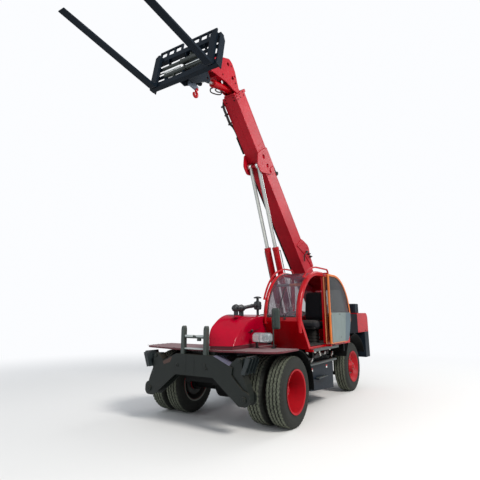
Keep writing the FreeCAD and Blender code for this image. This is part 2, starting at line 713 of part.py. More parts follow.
def deck():
    """Thin plate over the front wheels with a turned-down lip and a slot for the lowered boom."""
    body = new_body("deck")
    half, top = size.deck_half_width, size.deck_z + size.deck_plate
    corner = size.deck_corner
    step_x, step_y, slant = size.deck_step_x, size.deck_step_y, size.deck_front - 160
    outer = [(size.deck_rear, -step_y), (step_x, -step_y), (step_x, -half), (slant, -half, corner),
             (size.deck_front, -420, 120), (size.deck_front, 420, 120), (slant, half, corner),
             (step_x, half), (step_x, step_y), (size.deck_rear, step_y)]
    pad(body, "XY_Plane", [outer], size.deck_z - size.deck_lip, top)
    wall = size.deck_plate
    inner = [(size.deck_rear - 1, wall - step_y), (step_x - 1, wall - step_y), (step_x - 1, wall - half),
             (slant - wall, wall - half, corner - wall), (size.deck_front - wall, wall - 420, 120 - wall),
             (size.deck_front - wall, 420 - wall, 120 - wall), (slant - wall, half - wall, corner - wall),
             (step_x - 1, half - wall), (step_x - 1, step_y - wall), (size.deck_rear - 1, step_y - wall)]
    cut(body, "XY_Plane", [inner], size.deck_z - size.deck_lip, size.deck_z)
    cut(body, "XY_Plane", [rectangle(size.deck_rear - 1, -size.slot_half, size.slot_front, size.slot_half)],
        size.deck_z - size.deck_lip, top)
    place(body, -origin_x)


deck()


def mudguards():
    """Curved plates behind the front tyres, hung under the deck."""
    body = new_body("mudguards")
    middle, axle = size.wheelbase, size.tyre_radius
    inner = size.mudguard_radius
    outer = inner + 8
    low_edge = axle - 60
    for side in (1, -1):
        near, far = measure(700), size.deck_half_width - size.deck_plate - 1
        low, high = (near, far) if side > 0 else (-far, -near)
        pad(body, "XZ_Plane", [[
            (middle - outer, low_edge), (middle - outer, axle + outer, outer), (middle + 5, axle + outer),
            (middle + 5, axle + inner), (middle - inner, axle + inner, inner), (middle - inner, low_edge)]],
            low, high)
    cut(body, "XZ_Plane", [rectangle(middle - 700, size.deck_z, middle + 10, size.deck_z + 60)],
        -size.deck_half_width, size.deck_half_width)
    place(body, -origin_x)


def hood_side(share, inset):
    """The hood seen from the side, at a share of the way from the boom's side to the cab's, moved inwards."""
    rear, base = size.hood_rear, size.deck_z + size.deck_plate
    near = [(rear, base), (size.hood_front, base), (size.hood_front - 5, size.hood_shoulder_z, 200),
            (3850, size.hood_top + 5, 400), (rear, size.hood_top)]
    far = [(rear, base), (size.hood_nose_cab, base), (size.hood_nose_cab - 130, size.hood_shoulder_cab_z, 300),
           (3560, size.hood_top - 55, 500), (rear, size.hood_top - 15)]
    moves = [(1, 0), (-1, 0), (-1, -0.4), (-0.6, -1), (1, -1)]
    corners = []
    for here, there, move in zip(near, far, moves):
        corner = [measure(a) + (measure(b) - a) * share for a, b in zip(here, there)]
        corner[0] = corner[0] + inset * move[0]
        corner[1] = corner[1] + inset * move[1]
        if len(corner) > 2:
            corner[2] = corner[2] - inset
        corners.append(tuple(corner))
    return corners


def hood():
    """Hollow engine cover, open below, whose rounded nose falls away towards the cab."""
    body = new_body("hood")
    near, far, wall = size.hood_inner, size.hood_outer, size.hood_wall
    loft(body, "Additive", hood_side(measure(0), measure(0)), hood_side(measure(1), measure(0)), near, far)
    share = wall / (far - near)
    loft(body, "Subtractive", hood_side(share, wall), hood_side(1 - share, wall), near + wall, far - wall)
    place(body, -origin_x)


def engine():
    """Plain block of the engine's size under the hood."""
    body = new_body("engine_block")
    deck_top = size.deck_z + size.deck_plate
    pad(body, "XY_Plane", [rectangle(size.hood_rear + 80, size.hood_inner + 45, size.hood_rear + 600,
                                     size.hood_outer - 45)], deck_top, size.hood_top - 180)
    place(body, -origin_x)


def air_cleaner():
    """Filter canister on a stand, its duct and the capped inlet."""
    body = new_body("air_cleaner")
    top = size.hood_top
    pad(body, "YZ_Plane", [], 3520, 3780, [(390, top + 90, 80)])
    for rear, high_edge, low_edge in ((3560, 13, 25.6), (3700, 25, 58)):
        pad(body, "YZ_Plane", [[(350, top - high_edge), (430, top - low_edge), (430, top + 40), (350, top + 40)]],
            rear, rear + 40)
    pad(body, "YZ_Plane", [], 3100, 3525, [(385, top + 120, 38)])
    pad(body, "XY_Plane", [], top, top + 220, [(3130, 360, 88)])
    pad(body, "XY_Plane", [], top + 220, top + 300, [(3130, 360, 30)])
    pad(body, "XY_Plane", [], top + 290, top + 320, [(3130, 360, 76)])
    place(body, -origin_x)


def deck_fittings():
    """Headlamp on its stand and the mirror on its rod."""
    lamp = new_body("headlamp")
    top = size.deck_z + size.deck_plate
    lamp_front, lamp_near = 3615, 614
    pad(lamp, "XY_Plane", [], top, top + 90, [(lamp_front - 35, lamp_near + 76, 22)])
    pad(lamp, "XY_Plane", [rectangle(lamp_front - 115, lamp_near, lamp_front, lamp_near + 326, 25)],
        top + 85, top + 237)
    place(lamp, -origin_x)
    mirror = new_body("mirror")
    pad(mirror, "XY_Plane", [], top, top + 605, [(3490, 935, 11)])
    pad(mirror, "XY_Plane", [rectangle(3470, 905, 3500, 1050, 12)], top + 285, top + 610)
    place(mirror, -origin_x)


mudguards()
hood()
engine()
air_cleaner()
deck_fittings()


# Cab and door

def cab_outline(inset):
    """Side view of the cab, moved inwards; its front corner stays sharp so that the roof arc can start there."""
    inset = measure(inset)
    return [
        (size.cab_front_foot - inset * 0.51, size.cab_floor + inset),
        (size.cab_front - inset, size.cab_waist + inset * 0.32),
        (size.cab_front - inset, size.cab_top - inset, size.cab_front_curve - inset * 1.4),
        (size.cab_rear + inset, size.cab_top - inset, size.cab_rear_curve - inset),
        (size.cab_rear_foot + inset * 0.95, size.cab_floor + inset)]


def cab_shell():
    """Hollow cab with its frames, roof, floor and window openings."""
    body = new_body("cab_shell")
    near, far, wall = size.cab_inner_y, size.cab_outer_y, size.cab_wall
    pad(body, "XZ_Plane", [cab_outline(0)], near, far)
    cut(body, "XZ_Plane", [cab_outline(wall)], near + wall, far - wall)
    edge = 70
    sill, head = size.cab_sill, size.cab_top - edge
    post_front, post_rear = size.cab_post + 45, size.cab_post - 45
    front, rear = size.cab_front - edge, size.cab_rear + edge + 40
    # windscreen and roof window, between the two arched frames
    cut(body, "XZ_Plane", [[(2030, size.cab_top + 80), (front + 200, size.cab_top + 80), (front + 200, sill),
                            (front - 200, sill), (2030, size.cab_top - 120)]], near + edge, far - edge)
    # door opening and rear quarter window
    cut(body, "XZ_Plane", [[
        (post_front, size.cab_floor + 40), (size.cab_front_foot - 50, size.cab_floor + 40),
        (front, size.cab_waist + 22), (front, head, size.cab_front_curve - 95), (post_front, head)]],
        far - wall - 1, far + 1)
    quarter = [(rear, sill), (post_rear, sill), (post_rear, head), (rear, head, size.cab_rear_curve - edge)]
    cut(body, "XZ_Plane", [quarter], far - wall - 1, far + 1)
    # right side windows
    side_front = [(post_front, sill), (front, sill), (front, head, size.cab_front_curve - 135), (post_front, head)]
    cut(body, "XZ_Plane", [quarter, side_front], near - 1, near + wall + 1)
    # rear window
    cut(body, "XZ_Plane", [rectangle(size.cab_rear - 50, sill + 40, size.cab_rear + 330, sill + 540)],
        near + edge, far - edge)
    # door hinge brackets and their pins, and the sill step
    axis_x, axis_y = size.door_pin_x, size.door_pin_y
    for low, high in ((size.cab_floor + 5, size.door_bottom - 8), (size.cab_top - 13, size.cab_top)):
        pad(body, "XY_Plane", [rectangle(axis_x - 20, far - 10, axis_x + 20, axis_y + 18)], low, high)
    for low, high in ((size.door_bottom - 9, size.door_bottom + 40), (size.cab_top - 65, size.cab_top - 12)):
        pad(body, "XY_Plane", [], low, high, [(axis_x, axis_y, size.door_pin_radius)])
    pad(body, "XY_Plane", [rectangle(1512, far - 80, 2690, far + 60)], size.cab_floor - 35, size.cab_floor)
    place(body, -origin_x)


def cab_glass():
    """Curved windscreen, the side panes and the rear pane, each just clear of its opening."""
    body = new_body("cab_glass")
    near, far, gap = size.cab_inner_y, size.cab_outer_y, size.seat_gap
    edge = 70
    sill, head = size.cab_sill, size.cab_top - edge
    post_front, post_rear = size.cab_post + 45, size.cab_post - 45
    front, rear = size.cab_front - edge, size.cab_rear + edge + 40
    depth = 15
    pad(body, "XZ_Plane", [cab_outline(depth), cab_outline(depth + size.glass)], near + edge + gap, far - edge - gap)
    split = size.cab_rear + 330
    cut(body, "XZ_Plane", [[
        (400, 1000), (3100, 1000), (3100, sill + gap), (2030 + gap, sill + gap), (2030 + gap, size.cab_top + 20),
        (400, size.cab_top + 20), (400, sill + 540 - gap), (split, sill + 540 - gap), (split, sill + 40 + gap),
        (400, sill + 40 + gap)]], near, far)
    quarter = [(rear + gap, sill + gap), (post_rear - gap, sill + gap), (post_rear - gap, head - gap),
               (rear + gap, head - gap, size.cab_rear_curve - edge - gap)]
    pad(body, "XZ_Plane", [quarter], far - 28, far - 28 + size.glass)
    side_front = [(post_front + gap, sill + gap), (front - gap, sill + gap),
                  (front - gap, head - gap, size.cab_front_curve - 135 - gap), (post_front + gap, head - gap)]
    pad(body, "XZ_Plane", [quarter, side_front], near + 22, near + 22 + size.glass)
    place(body, -origin_x)


def cab_rails():
    """Bent tubes over the edges of the roof, the right one coming down as a grab rail."""
    body = new_body("cab_rails")
    stand, tube = 95, 25
    front, top = size.cab_front + stand, size.cab_top + stand
    curve = size.cab_front_curve + stand
    for low, foot, stop in ((size.cab_inner_y + 15, 1860, 1850), (size.cab_outer_y - 40, 2230, 1600)):
        pad(body, "XZ_Plane", [[
            (front, 1450), (front, top, curve), (stop, top, 90), (stop, size.cab_top),
            (stop + tube, size.cab_top), (stop + tube, top - tube, 65), (front - tube, top - tube, curve - tube),
            (front - tube, 1450)]], low, low + tube)
        cut(body, "XZ_Plane", [rectangle(size.cab_front - 500, 1449, front + 1, foot)], low - 1, low + tube + 1)
        reach = size.cab_front_curve + size.seat_gap
        rise = foot - (size.cab_top - size.cab_front_curve)
        run = math.sqrt(float(reach) ** 2 - float(rise) ** 2)
        arc_middle = float(size.cab_front - size.cab_front_curve)
        far_run = math.sqrt(float(curve - 8) ** 2 - float(rise) ** 2)
        pad(body, "XZ_Plane", [rectangle(arc_middle + run, foot, arc_middle + far_run, foot + tube)],
            low, low + tube)
    place(body, -origin_x)


def seat():
    """Driver's seat on its suspension."""
    body = new_body("seat")
    floor = size.cab_floor + size.cab_wall
    pad(body, "XY_Plane", [rectangle(1690, 700, 1980, 980)], floor, floor + 260)
    pad(body, "XZ_Plane", [[(1580, floor + 260), (2080, floor + 260), (2090, floor + 390, 50),
                            (1640, floor + 370, 20), (1560, floor + 1000, 40), (1460, floor + 980, 40)]], 610, 1070)
    place(body, -origin_x)


def controls():
    """Dash, steering column and wheel, and the lever box."""
    body = new_body("cab_controls")
    floor = size.cab_floor + size.cab_wall
    dash_end = size.cab_front - size.cab_wall
    pad(body, "XZ_Plane", [[(2640, 1150), (2890, 1500), (dash_end, 1520), (dash_end - 6, 1600), (2800, 1600),
                            (2570, 1400)]], 640, 1030)
    pad(body, "XZ_Plane", [[(2500, floor), (2580, floor), (2580, 1420), (2520, 1597), (2480, 1587)]], 800, 870)
    pad(body, "XY_Plane", [rectangle(1900, 545, 2250, 605)], floor, floor + 480)
    pad(body, "XY_Plane", [], floor + 480, floor + 620, [(2180, 575, 14)])
    place(body, -origin_x)
    wheel = new_body("steering_wheel")
    pad(wheel, "XY_Plane", [], 0, 24, [(0, 0, 190), (0, 0, 164)])
    pad(wheel, "XY_Plane", [rectangle(-170, -16, 170, 16)], 4, 20)
    place(wheel, 2490 - origin_x, 835, 1602, measure(-14))


def door():
    """Open door: tubular frame, lower panel and pane, drawn as it stands folded back beside the cab."""
    hinge = size.door_pin_x
    near = size.door_pin_y + 8
    far = near + size.door_frame
    waist = size.door_waist
    top = size.cab_top - 25
    curve = size.cab_front_curve - 25
    tube = size.door_tube
    foot = hinge * 2 - size.cab_front_foot + 5
    front = hinge * 2 - size.cab_front + 10
    post = hinge + 45
    frame_body = new_body("door_frame")
    pad(frame_body, "XZ_Plane", [[(foot, size.door_bottom), (front, size.cab_waist + 4), (front, top, curve),
                                  (post, top), (post, size.door_bottom)]], near, far)
    window = [(front + tube, waist), (post - tube, waist), (post - tube, top - tube),
              (front + tube, top - tube, curve - tube - 65)]
    lower_top = waist - 30
    panel = [(foot + tube * 0.62, size.door_bottom + tube), (front + tube, size.cab_waist + 10),
             (front + tube, lower_top), (post - tube, lower_top), (post - tube, size.door_bottom + tube)]
    cut(frame_body, "XZ_Plane", [window], near - 1, far + 1)
    cut(frame_body, "XZ_Plane", [panel], near - 1, far + 1)
    knuckle_radius = 16
    for low in (size.door_bottom, top - 60):
        pad(frame_body, "XY_Plane", [], low, low + 60, [(hinge, size.door_pin_y, knuckle_radius)])
    hole = size.door_pin_radius + size.running_gap
    for low in (size.door_bottom - 1, top - 61):
        cut(frame_body, "XY_Plane", [], low, low + 62, [(hinge, size.door_pin_y, hole)])
    place(frame_body, -origin_x)
    plate = new_body("door_panel")
    pad(plate, "XZ_Plane", [panel], near + 10, far - 10)
    place(plate, -origin_x)
    pane = new_body("door_glass")
    gap = size.seat_gap
    pad(pane, "XZ_Plane", [[
        (front + tube + gap, waist + gap), (post - tube - gap, waist + gap), (post - tube - gap, top - tube - gap),
        (front + tube + gap, top - tube - gap, curve - tube - 65 - gap)]], near + 15, near + 15 + size.glass)
    place(pane, -origin_x)


cab_shell()
cab_glass()
cab_rails()
seat()
controls()
door()


# Rear end, boom tower and what hangs beside the frame

def rear_end():
    """Red covers, dark side boxes, ballast, wheel arches and the small box on the left cover."""
    covers = new_body("rear_covers")
    boxes = new_body("side_boxes")
    arches = new_body("wheel_arches")
    half, top = size.rear_half, size.rear_top
    band, flat = size.arch_radius, 8
    outer = band + size.arch_wall
    axle = size.tyre_radius
    for side in (1, -1):
        low, high = (measure(250), half) if side > 0 else (-half, measure(-250))
        pad(covers, "XZ_Plane", [[(size.rear_end, size.rear_split), (size.cover_front, size.rear_split),
                                  (size.cover_front, top), (size.rear_end, top, 140)]], low, high)
        pad(boxes, "XZ_Plane", [rectangle(size.cover_front, size.rear_split, size.box_front, top - 20)], low, high)
        low, high = (size.arch_inner, half - 20) if side > 0 else (-half + 20, -size.arch_inner)
        pad(arches, "XZ_Plane", [[
            (-outer, 430), (-outer, axle + outer, outer - flat), (outer, axle + outer, outer - flat), (outer, 430),
            (band, 430), (band, axle + band, band - flat), (-band, axle + band, band - flat), (-band, 430)]],
            low, high)
        pad(arches, "XZ_Plane", [rectangle(-60, axle + band + 4, 60, size.rear_split)], low, high)
    cut(arches, "XZ_Plane", [rectangle(-outer - 10, 429, outer + 10, 760)], -half, half)
    for body in (covers, boxes, arches):
        place(body, -origin_x)
    ballast = new_body("ballast")
    pad(ballast, "YZ_Plane", [rectangle(-half, size.ballast_bottom, half, size.rear_split)],
        size.rear_end, size.ballast_front)
    place(ballast, -origin_x)
    small = new_body("rear_locker")
    pad(small, "XY_Plane", [rectangle(-950, 700, -700, 900)], top, top + 212)
    place(small, -origin_x)


def boom_tower():
    """Two plates inside the rails that carry the boom's pivot pin."""
    body = new_body("boom_tower")
    foot = size.rail_bottom + 20
    outline = [(-600, foot), (350, foot), (350, 950), (-400, 1700, 80), (-430, 1880, 110), (-680, 1880, 110),
               (-680, size.rail_top + 20), (-600, size.rail_top + 20)]
    inner = size.tower_inner
    for side in (1, -1):
        low, high = (inner, inner + size.tower_plate) if side > 0 else (-inner - size.tower_plate, -inner)
        pad(body, "XZ_Plane", [outline], low, high)
    pad(body, "XZ_Plane", [], -size.tower_pin_half, size.tower_pin_half, [(pin_x, pin_z, size.pivot_radius)])
    pad(body, "XZ_Plane", [rectangle(-560, 1180, 200, 1200)], -inner - 1, inner + 1)
    place(body, -origin_x)


def flanks():
    """Left: stepped box with its ledge and the valve block under the cab. Right: the two tanks."""
    box = new_body("belly_box")
    near = size.rail_inner + size.rail_width
    pad(box, "XZ_Plane", [[(1180, 230), (2250, 310), (2420, 560, 60), (2420, 735), (1180, 735)]], near, 980)
    pad(box, "XZ_Plane", [rectangle(1140, 735, 2440, 765)], near, 1040)
    pad(box, "XY_Plane", [rectangle(1640, 979, 2050, 1060)], 480, 500)
    place(box, -origin_x)
    valves = new_body("valve_block")
    pad(valves, "XY_Plane", [rectangle(1300, 560, 2250, 900)], 765, 930)
    pad(valves, "XY_Plane", [rectangle(1150, 700, 1290, 860)], 765, 1000)
    place(valves, -origin_x)
    for name, rear, front, high in (("hydraulic_tank", 900, 1560, 1250), ("fuel_tank", 1620, 2450, 1050)):
        tank = new_body(name)
        pad(tank, "YZ_Plane", [[(-near, 350), (-near, high), (-1040, high, 70), (-1040, 350, 70)]], rear, front)
        place(tank, -origin_x)
    carriers = new_body("cab_carriers")
    near = size.rail_inner + 2
    for rear in (760, 2340):
        pad(carriers, "XZ_Plane", [rectangle(rear, size.rail_top, rear + 60, size.cab_floor)], near, 1100)
    far = size.deck_step_y - size.deck_plate
    for low, high in ((near, far), (-far, -near)):
        pad(carriers, "XZ_Plane", [rectangle(2765, size.rail_top, 2825, size.deck_z)], low, high)
    place(carriers, -origin_x)


rear_end()
boom_tower()
flanks()


# Boom, drawn along its own pivot line and pitched up

def lay_on_boom(body):
    """Puts a body drawn along the boom's pivot line into its place."""
    place(body, pin_x - origin_x, 0, pin_z, size.boom_angle)


def box_section(body, half, bottom, top, wall, rear, front):
    """Hollow rectangular boom section, open at both ends."""
    pad(body, "YZ_Plane", [rectangle(-half, bottom, half, top),
                           rectangle(wall - half, bottom + wall, half - wall, top - wall)], rear, front)


def mouth(body, half, bottom, top, wall, next_half, next_bottom, next_top, front):
    """Wear pads that fill the front of a section down to the one that slides in it."""
    gap = size.running_gap
    pad(body, "YZ_Plane", [
        rectangle(wall - half, bottom + wall, half - wall, top - wall),
        rectangle(-next_half - gap, next_bottom - gap, next_half + gap, next_top + gap)],
        front - size.pad_length, front)


boom_bottom, boom_top = -size.boom_below, size.boom_above
middle_half = size.boom_half_width - size.boom_wall - size.section_gap
middle_bottom = boom_bottom + size.boom_wall + size.section_gap
inner_half = middle_half - size.section_wall - size.section_gap
inner_bottom = middle_bottom + size.section_wall + size.section_gap


def outer_boom():
    """Main section with its pivot bosses, lift ears and lift pin."""
    body = new_body("outer_boom")
    half, wall, front = size.boom_half_width, size.boom_wall, size.boom_length
    box_section(body, half, boom_bottom, boom_top, wall, -size.boom_tail, front)
    mouth(body, half, boom_bottom, boom_top, wall, middle_half, middle_bottom, size.middle_top, front)
    pad(body, "YZ_Plane", [rectangle(-half, boom_top, half, boom_top + 60)], front - 60, front)
    for side in (1, -1):
        low, high = (half, half + 33) if side > 0 else (-half - 33, -half)
        pad(body, "XZ_Plane", [], low, high, [(0, 0, 85)])
        low, high = (half, half + size.ear_plate) if side > 0 else (-half - size.ear_plate, -half)
        pad(body, "XZ_Plane", [[
            (4315, 205), (4380, -220, 60), (4220, -405, 120), (4030, -405, 100), (3790, -50, 60), (3790, 100),
            (3870, 205)]], low, high, [(4220, -70, 50), (4000, -50, 50)])
    cut(body, "XZ_Plane", [], -half - 40, half + 40, [(0, 0, size.pivot_radius + size.running_gap)])
    ear = half + size.ear_plate
    pad(body, "XZ_Plane", [], -ear, ear, [(size.ear_x, -size.ear_drop, size.lift_pin_radius)])
    lay_on_boom(body)
    tray = new_body("hose_tray")
    for rear, end in ((500, 3780), (4410, size.tray_front)):
        pad(tray, "YZ_Plane", [rectangle(-half - size.tray_width, boom_bottom + 10, -half, -30)], rear, end)
    lay_on_boom(tray)


def middle_boom():
    """Second section, with wear pads at its mouth."""
    body = new_body("middle_boom")
    box_section(body, middle_half, middle_bottom, size.middle_top, size.section_wall, size.middle_tail,
                size.boom_length)
    mouth(body, middle_half, middle_bottom, size.middle_top, size.section_wall, inner_half, inner_bottom,
          size.inner_top, size.boom_length)
    lay_on_boom(body)


def inner_boom():
    """Innermost section with the head plates that carry the carriage and the tilt cylinder."""
    body = new_body("inner_boom")
    front = size.boom_length + 40
    box_section(body, inner_half, inner_bottom, size.inner_top, size.section_wall, size.inner_tail, front)
    near, far = size.head_half_width - size.head_plate, size.head_half_width
    shape = [
        (5605, -54), (5710, -145, 80), (5885, -263, 100), (6054, -458, 100), (6236, -663, 60), (6290, -800, 90),
        (6480, -800, 90), (6490, -640, 90), (6350, -212, 80), (6340, -116, 60), (6240, 153, 80), (6140, 200, 100),
        (5965, 183, 100), (5780, 110), (5605, 50)]
    for side in (1, -1):
        low, high = (near, far) if side > 0 else (-far, -near)
        pad(body, "XZ_Plane", [shape], low, high,
            [(6160, 34, 40), (5893, -2, 40)])
    # plates across the top and the lower front of the head
    pad(body, "XZ_Plane", [[(5640, 40), (5780, 92), (5965, 165), (6140, 182), (6225, 140), (6232, 153),
                            (6140, 198), (5965, 181), (5780, 108), (5640, 56)]], -near, near)
    pad(body, "XZ_Plane", [[(5963, -341), (6081, -477), (6092, -468), (5974, -332)]], -near, near)
    pad(body, "XZ_Plane", [], -far, far, [(size.tilt_x, -size.tilt_drop, size.tilt_pin_radius)])
    pad(body, "XZ_Plane", [], -near, near, [(size.tilt_base_x, -size.tilt_base_drop, size.tilt_pin_radius)])
    lay_on_boom(body)


outer_boom()
middle_boom()
inner_boom()


# Cylinders, each drawn along its own axis

lift_pin_x, lift_pin_z = on_boom(size.ear_x, -size.ear_drop)
lift_run, lift_rise = lift_pin_x - size.lift_base_x, lift_pin_z - size.lift_base_z
lift_angle, lift_length = heading(lift_run, lift_rise), span(lift_run, lift_rise)


def lift_cylinders():
    """A pair of barrels and a pair of rods side by side, each pair one piece."""
    barrels = new_body("lift_barrels")
    rods = new_body("lift_rods")
    for side in (1, -1):
        middle = side * size.lift_y
        low, high = middle - size.lift_barrel_radius, middle + size.lift_barrel_radius
        pad(barrels, "YZ_Plane", [], 0, size.lift_barrel_length, [(middle, 0, size.lift_barrel_radius)])
        pad(barrels, "XZ_Plane", [], low, high, [(0, 0, size.lift_barrel_radius)])
        cut(barrels, "YZ_Plane", [], size.lift_bore_start, size.lift_barrel_length + 1,
            [(middle, 0, size.lift_rod_radius + size.running_gap)])
        cut(barrels, "XZ_Plane", [], low - 1, high + 1, [(0, 0, size.lift_pin_radius + 2)])
        pad(rods, "YZ_Plane", [], lift_length - size.lift_rod_length, lift_length - 40,
            [(middle, 0, size.lift_rod_radius)])
        low, high = middle - 40, middle + 40
        pad(rods, "XZ_Plane", [], low, high, [(lift_length, 0, 58)])
        cut(rods, "XZ_Plane", [], low - 1, high + 1,
            [(lift_length, 0, size.lift_pin_radius + size.running_gap)])
    for body in (barrels, rods):
        place(body, size.lift_base_x - origin_x, 0, size.lift_base_z, lift_angle)


tilt_base_x, tilt_base_z = on_boom(size.tilt_base_x, -size.tilt_base_drop)
fork_cos, fork_sin = cosine(size.fork_angle), sine(size.fork_angle)
lug_x = tilt_pin_x - size.tilt_lug_back * fork_cos + size.tilt_lug_drop * fork_sin
lug_z = tilt_pin_z - size.tilt_lug_back * fork_sin - size.tilt_lug_drop * fork_cos
tilt_run, tilt_rise = lug_x - tilt_base_x, lug_z - tilt_base_z
tilt_angle, tilt_length = heading(tilt_run, tilt_rise), span(tilt_run, tilt_rise)


def tilt_cylinder():
    """Barrel pinned in the boom head and the rod that works the carriage."""
    barrel = new_body("tilt_barrel")
    radius = size.tilt_barrel_radius
    pad(barrel, "YZ_Plane", [], 40, size.tilt_barrel_length, [(0, 0, radius)])
    pad(barrel, "XZ_Plane", [], -45, 45, [(0, 0, radius)])
    cut(barrel, "YZ_Plane", [], size.tilt_bore_start, size.tilt_barrel_length + 1,
        [(0, 0, size.tilt_rod_radius + size.running_gap)])
    cut(barrel, "XZ_Plane", [], -46, 46, [(0, 0, size.tilt_pin_radius + size.running_gap)])
    rod = new_body("tilt_rod")
    pad(rod, "YZ_Plane", [], 320, tilt_length - 30, [(0, 0, size.tilt_rod_radius)])
    pad(rod, "XZ_Plane", [], -35, 35, [(tilt_length, 0, 46)])
    cut(rod, "XZ_Plane", [], -36, 36, [(tilt_length, 0, 24)])
    for body in (barrel, rod):
        place(body, tilt_base_x - origin_x, 0, tilt_base_z, tilt_angle)


lift_cylinders()
tilt_cylinder()


# Carriage and forks, drawn from the carriage pivot with the forks along X

def lay_on_carriage(body):
    """Puts a body drawn from the carriage pivot into its place."""
    place(body, tilt_pin_x - origin_x, 0, tilt_pin_z, size.fork_angle)


def carriage():
    """Hanger plates, two bars, end plates and the tubes of the fork positioners."""
    body = new_body("carriage")
    back, front = size.carriage_x, size.carriage_x + size.bar_depth
    half, step = size.carriage_half, size.bar_height / 2
    lower, upper = size.lower_bar_z, size.upper_bar_z
    for middle in (lower, upper):
        pad(body, "XZ_Plane", [rectangle(back, middle - step, front, middle + step)], -half, half)
    for side in (1, -1):
        low, high = (half - size.side_plate, half) if side > 0 else (-half, size.side_plate - half)
        pad(body, "XZ_Plane", [rectangle(back, lower - step, front, upper + step)], low, high)
        low, high = (size.lug_half - size.lug_plate, size.lug_half) if side > 0 else (
            -size.lug_half, size.lug_plate - size.lug_half)
        pad(body, "XZ_Plane", [[
            (back + 1, upper + step), (back + 1, lower - step), (back - 110, lower - step), (-110, -350, 60),
            (-222, -310, 60), (-222, -190, 60), (-75, -60, 40), (-75, 75, 60), (60, 75, 60)]],
            low, high, [(0, 0, size.tilt_pin_radius + size.running_gap),
                        (-size.tilt_lug_back, -size.tilt_lug_drop, 24)])
    pad(body, "XZ_Plane", [], -half + 1, half - 1, [(back + 40, upper - 182, 28), (back + 40, lower + 184, 28)])
    lay_on_carriage(body)
    guard = new_body("load_guards")
    tube, base = size.guard_tube, upper + step
    top = base + size.guard_height
    rear = front - tube
    for left, right in ((100, 630), (-630, -100)):
        pad(guard, "YZ_Plane", [rectangle(left, top - tube, right, top)], rear, rear + tube)
        for count in range(4):
            spot = left + (right - left - size.guard_tube) * (count / 3)
            pad(guard, "YZ_Plane", [rectangle(spot, base, spot + tube, top)], rear, rear + tube)
    lay_on_carriage(guard)


def fork(word, side):
    """One fork: an upright shank in front of the bars and a tapered blade."""
    body = new_body(f"fork_{word}")
    back = size.carriage_x + size.bar_depth + size.running_gap
    front = back + size.fork_thickness
    under, high = -size.fork_drop, size.upper_bar_z + size.bar_height / 2
    low_y, high_y = side * size.fork_y - size.fork_width / 2, side * size.fork_y + size.fork_width / 2
    end = front + size.fork_length
    pad(body, "XZ_Plane", [[(back, under, 60), (end, under), (end, under + size.fork_tip),
                            (front, under + size.fork_thickness, 50), (front, high), (back, high)]], low_y, high_y)
    lay_on_carriage(body)


carriage()
fork("left", 1)
fork("right", -1)


# Stabilisers

def stabiliser(word, side):
    """Folded leg between the arch plates and its ribbed foot."""
    leg = new_body(f"stabiliser_{word}")
    near = size.arch_front - size.arch_depth + size.arch_plate + 5
    far = size.arch_front - size.arch_plate - 5
    pin_y, pin_up = size.leg_pin_y, size.leg_pin_z
    foot_y, foot_z, half = size.foot_pin_y, size.foot_pin_z, size.leg_width / 2
    pad(leg, "YZ_Plane", [[
        (side * (pin_y - 65), pin_up - 65, 60), (side * (pin_y + 65), pin_up - 65, 60),
        (side * (pin_y + 65), pin_up + 50, 40), (side * (foot_y + 105), foot_z - 300, 60),
        (side * (foot_y + 55), foot_z - 190, 40), (side * (foot_y + half), foot_z + half, 36),
        (side * (foot_y - half), foot_z + half, 36), (side * (foot_y - 150), foot_z - 50, 40),
        (side * (foot_y - 170), foot_z - 260, 60), (side * (pin_y - 120), pin_up + 80, 40)]], near, far)
    middle = (near + far) / 2
    cut(leg, "YZ_Plane", [rectangle(side * foot_y - 70, foot_z - 90, side * foot_y + 70, foot_z + 70)],
        middle - 30, middle + 30)
    pad(leg, "YZ_Plane", [], near, far, [(side * foot_y, foot_z, size.foot_pin_radius)])
    hole = size.leg_pin_radius + size.running_gap
    cut(leg, "YZ_Plane", [], near - 1, far + 1, [(side * pin_y, pin_up, hole)])
    place(leg, -origin_x)
    foot = new_body(f"foot_{word}")
    lean_cos, lean_sin = cosine(size.foot_lean), sine(size.foot_lean)

    def spot(out, up):
        """A corner given out of the foot pin along the sole's normal and up along the sole."""
        return side * (foot_y + lean_cos * out + lean_sin * up), foot_z - lean_sin * out + lean_cos * up

    reach, length = size.foot_reach, size.foot_length / 2
    plate = reach + size.foot_plate
    pad(foot, "YZ_Plane", [[spot(reach, -length), spot(plate, -length), spot(plate, length), spot(reach, length)]],
        middle - 140, middle + 140)
    pad(foot, "YZ_Plane", [[(*spot(-38, -38), 34), (*spot(-38, 38), 34), spot(reach + 1, 62), spot(reach + 1, -62)]],
        middle - 25, middle + 25, [(side * foot_y, foot_z, size.foot_pin_radius + size.running_gap)])
    sole = plate + size.cleat
    for step in (-140, -53, 33, 120):
        pad(foot, "YZ_Plane", [[spot(plate - 1, 10 - length), spot(sole, 10 - length), spot(sole, length - 10),
                                spot(plate - 1, length - 10)]], middle + step, middle + step + 20)
    place(foot, -origin_x)


stabiliser("left", 1)
stabiliser("right", -1)


# Checks and export

doc.recompute()
faults = [item.Name for item in doc.Objects if "Invalid" in item.State or "Error" in item.State]
if faults:
    raise RuntimeError(f"these objects do not compute: {faults}")
os.makedirs("parts", exist_ok=True)
for node in nodes:
    shape = node.Shape
    if shape.isNull() or not shape.isValid() or not shape.Solids:
        raise RuntimeError(f"{node.Label} has no valid solid")
    shape.exportStep(f"parts/{node.Label}.step")
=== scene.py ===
import math

import bmesh
import bpy
import numpy as np
from mathutils import Matrix, Vector


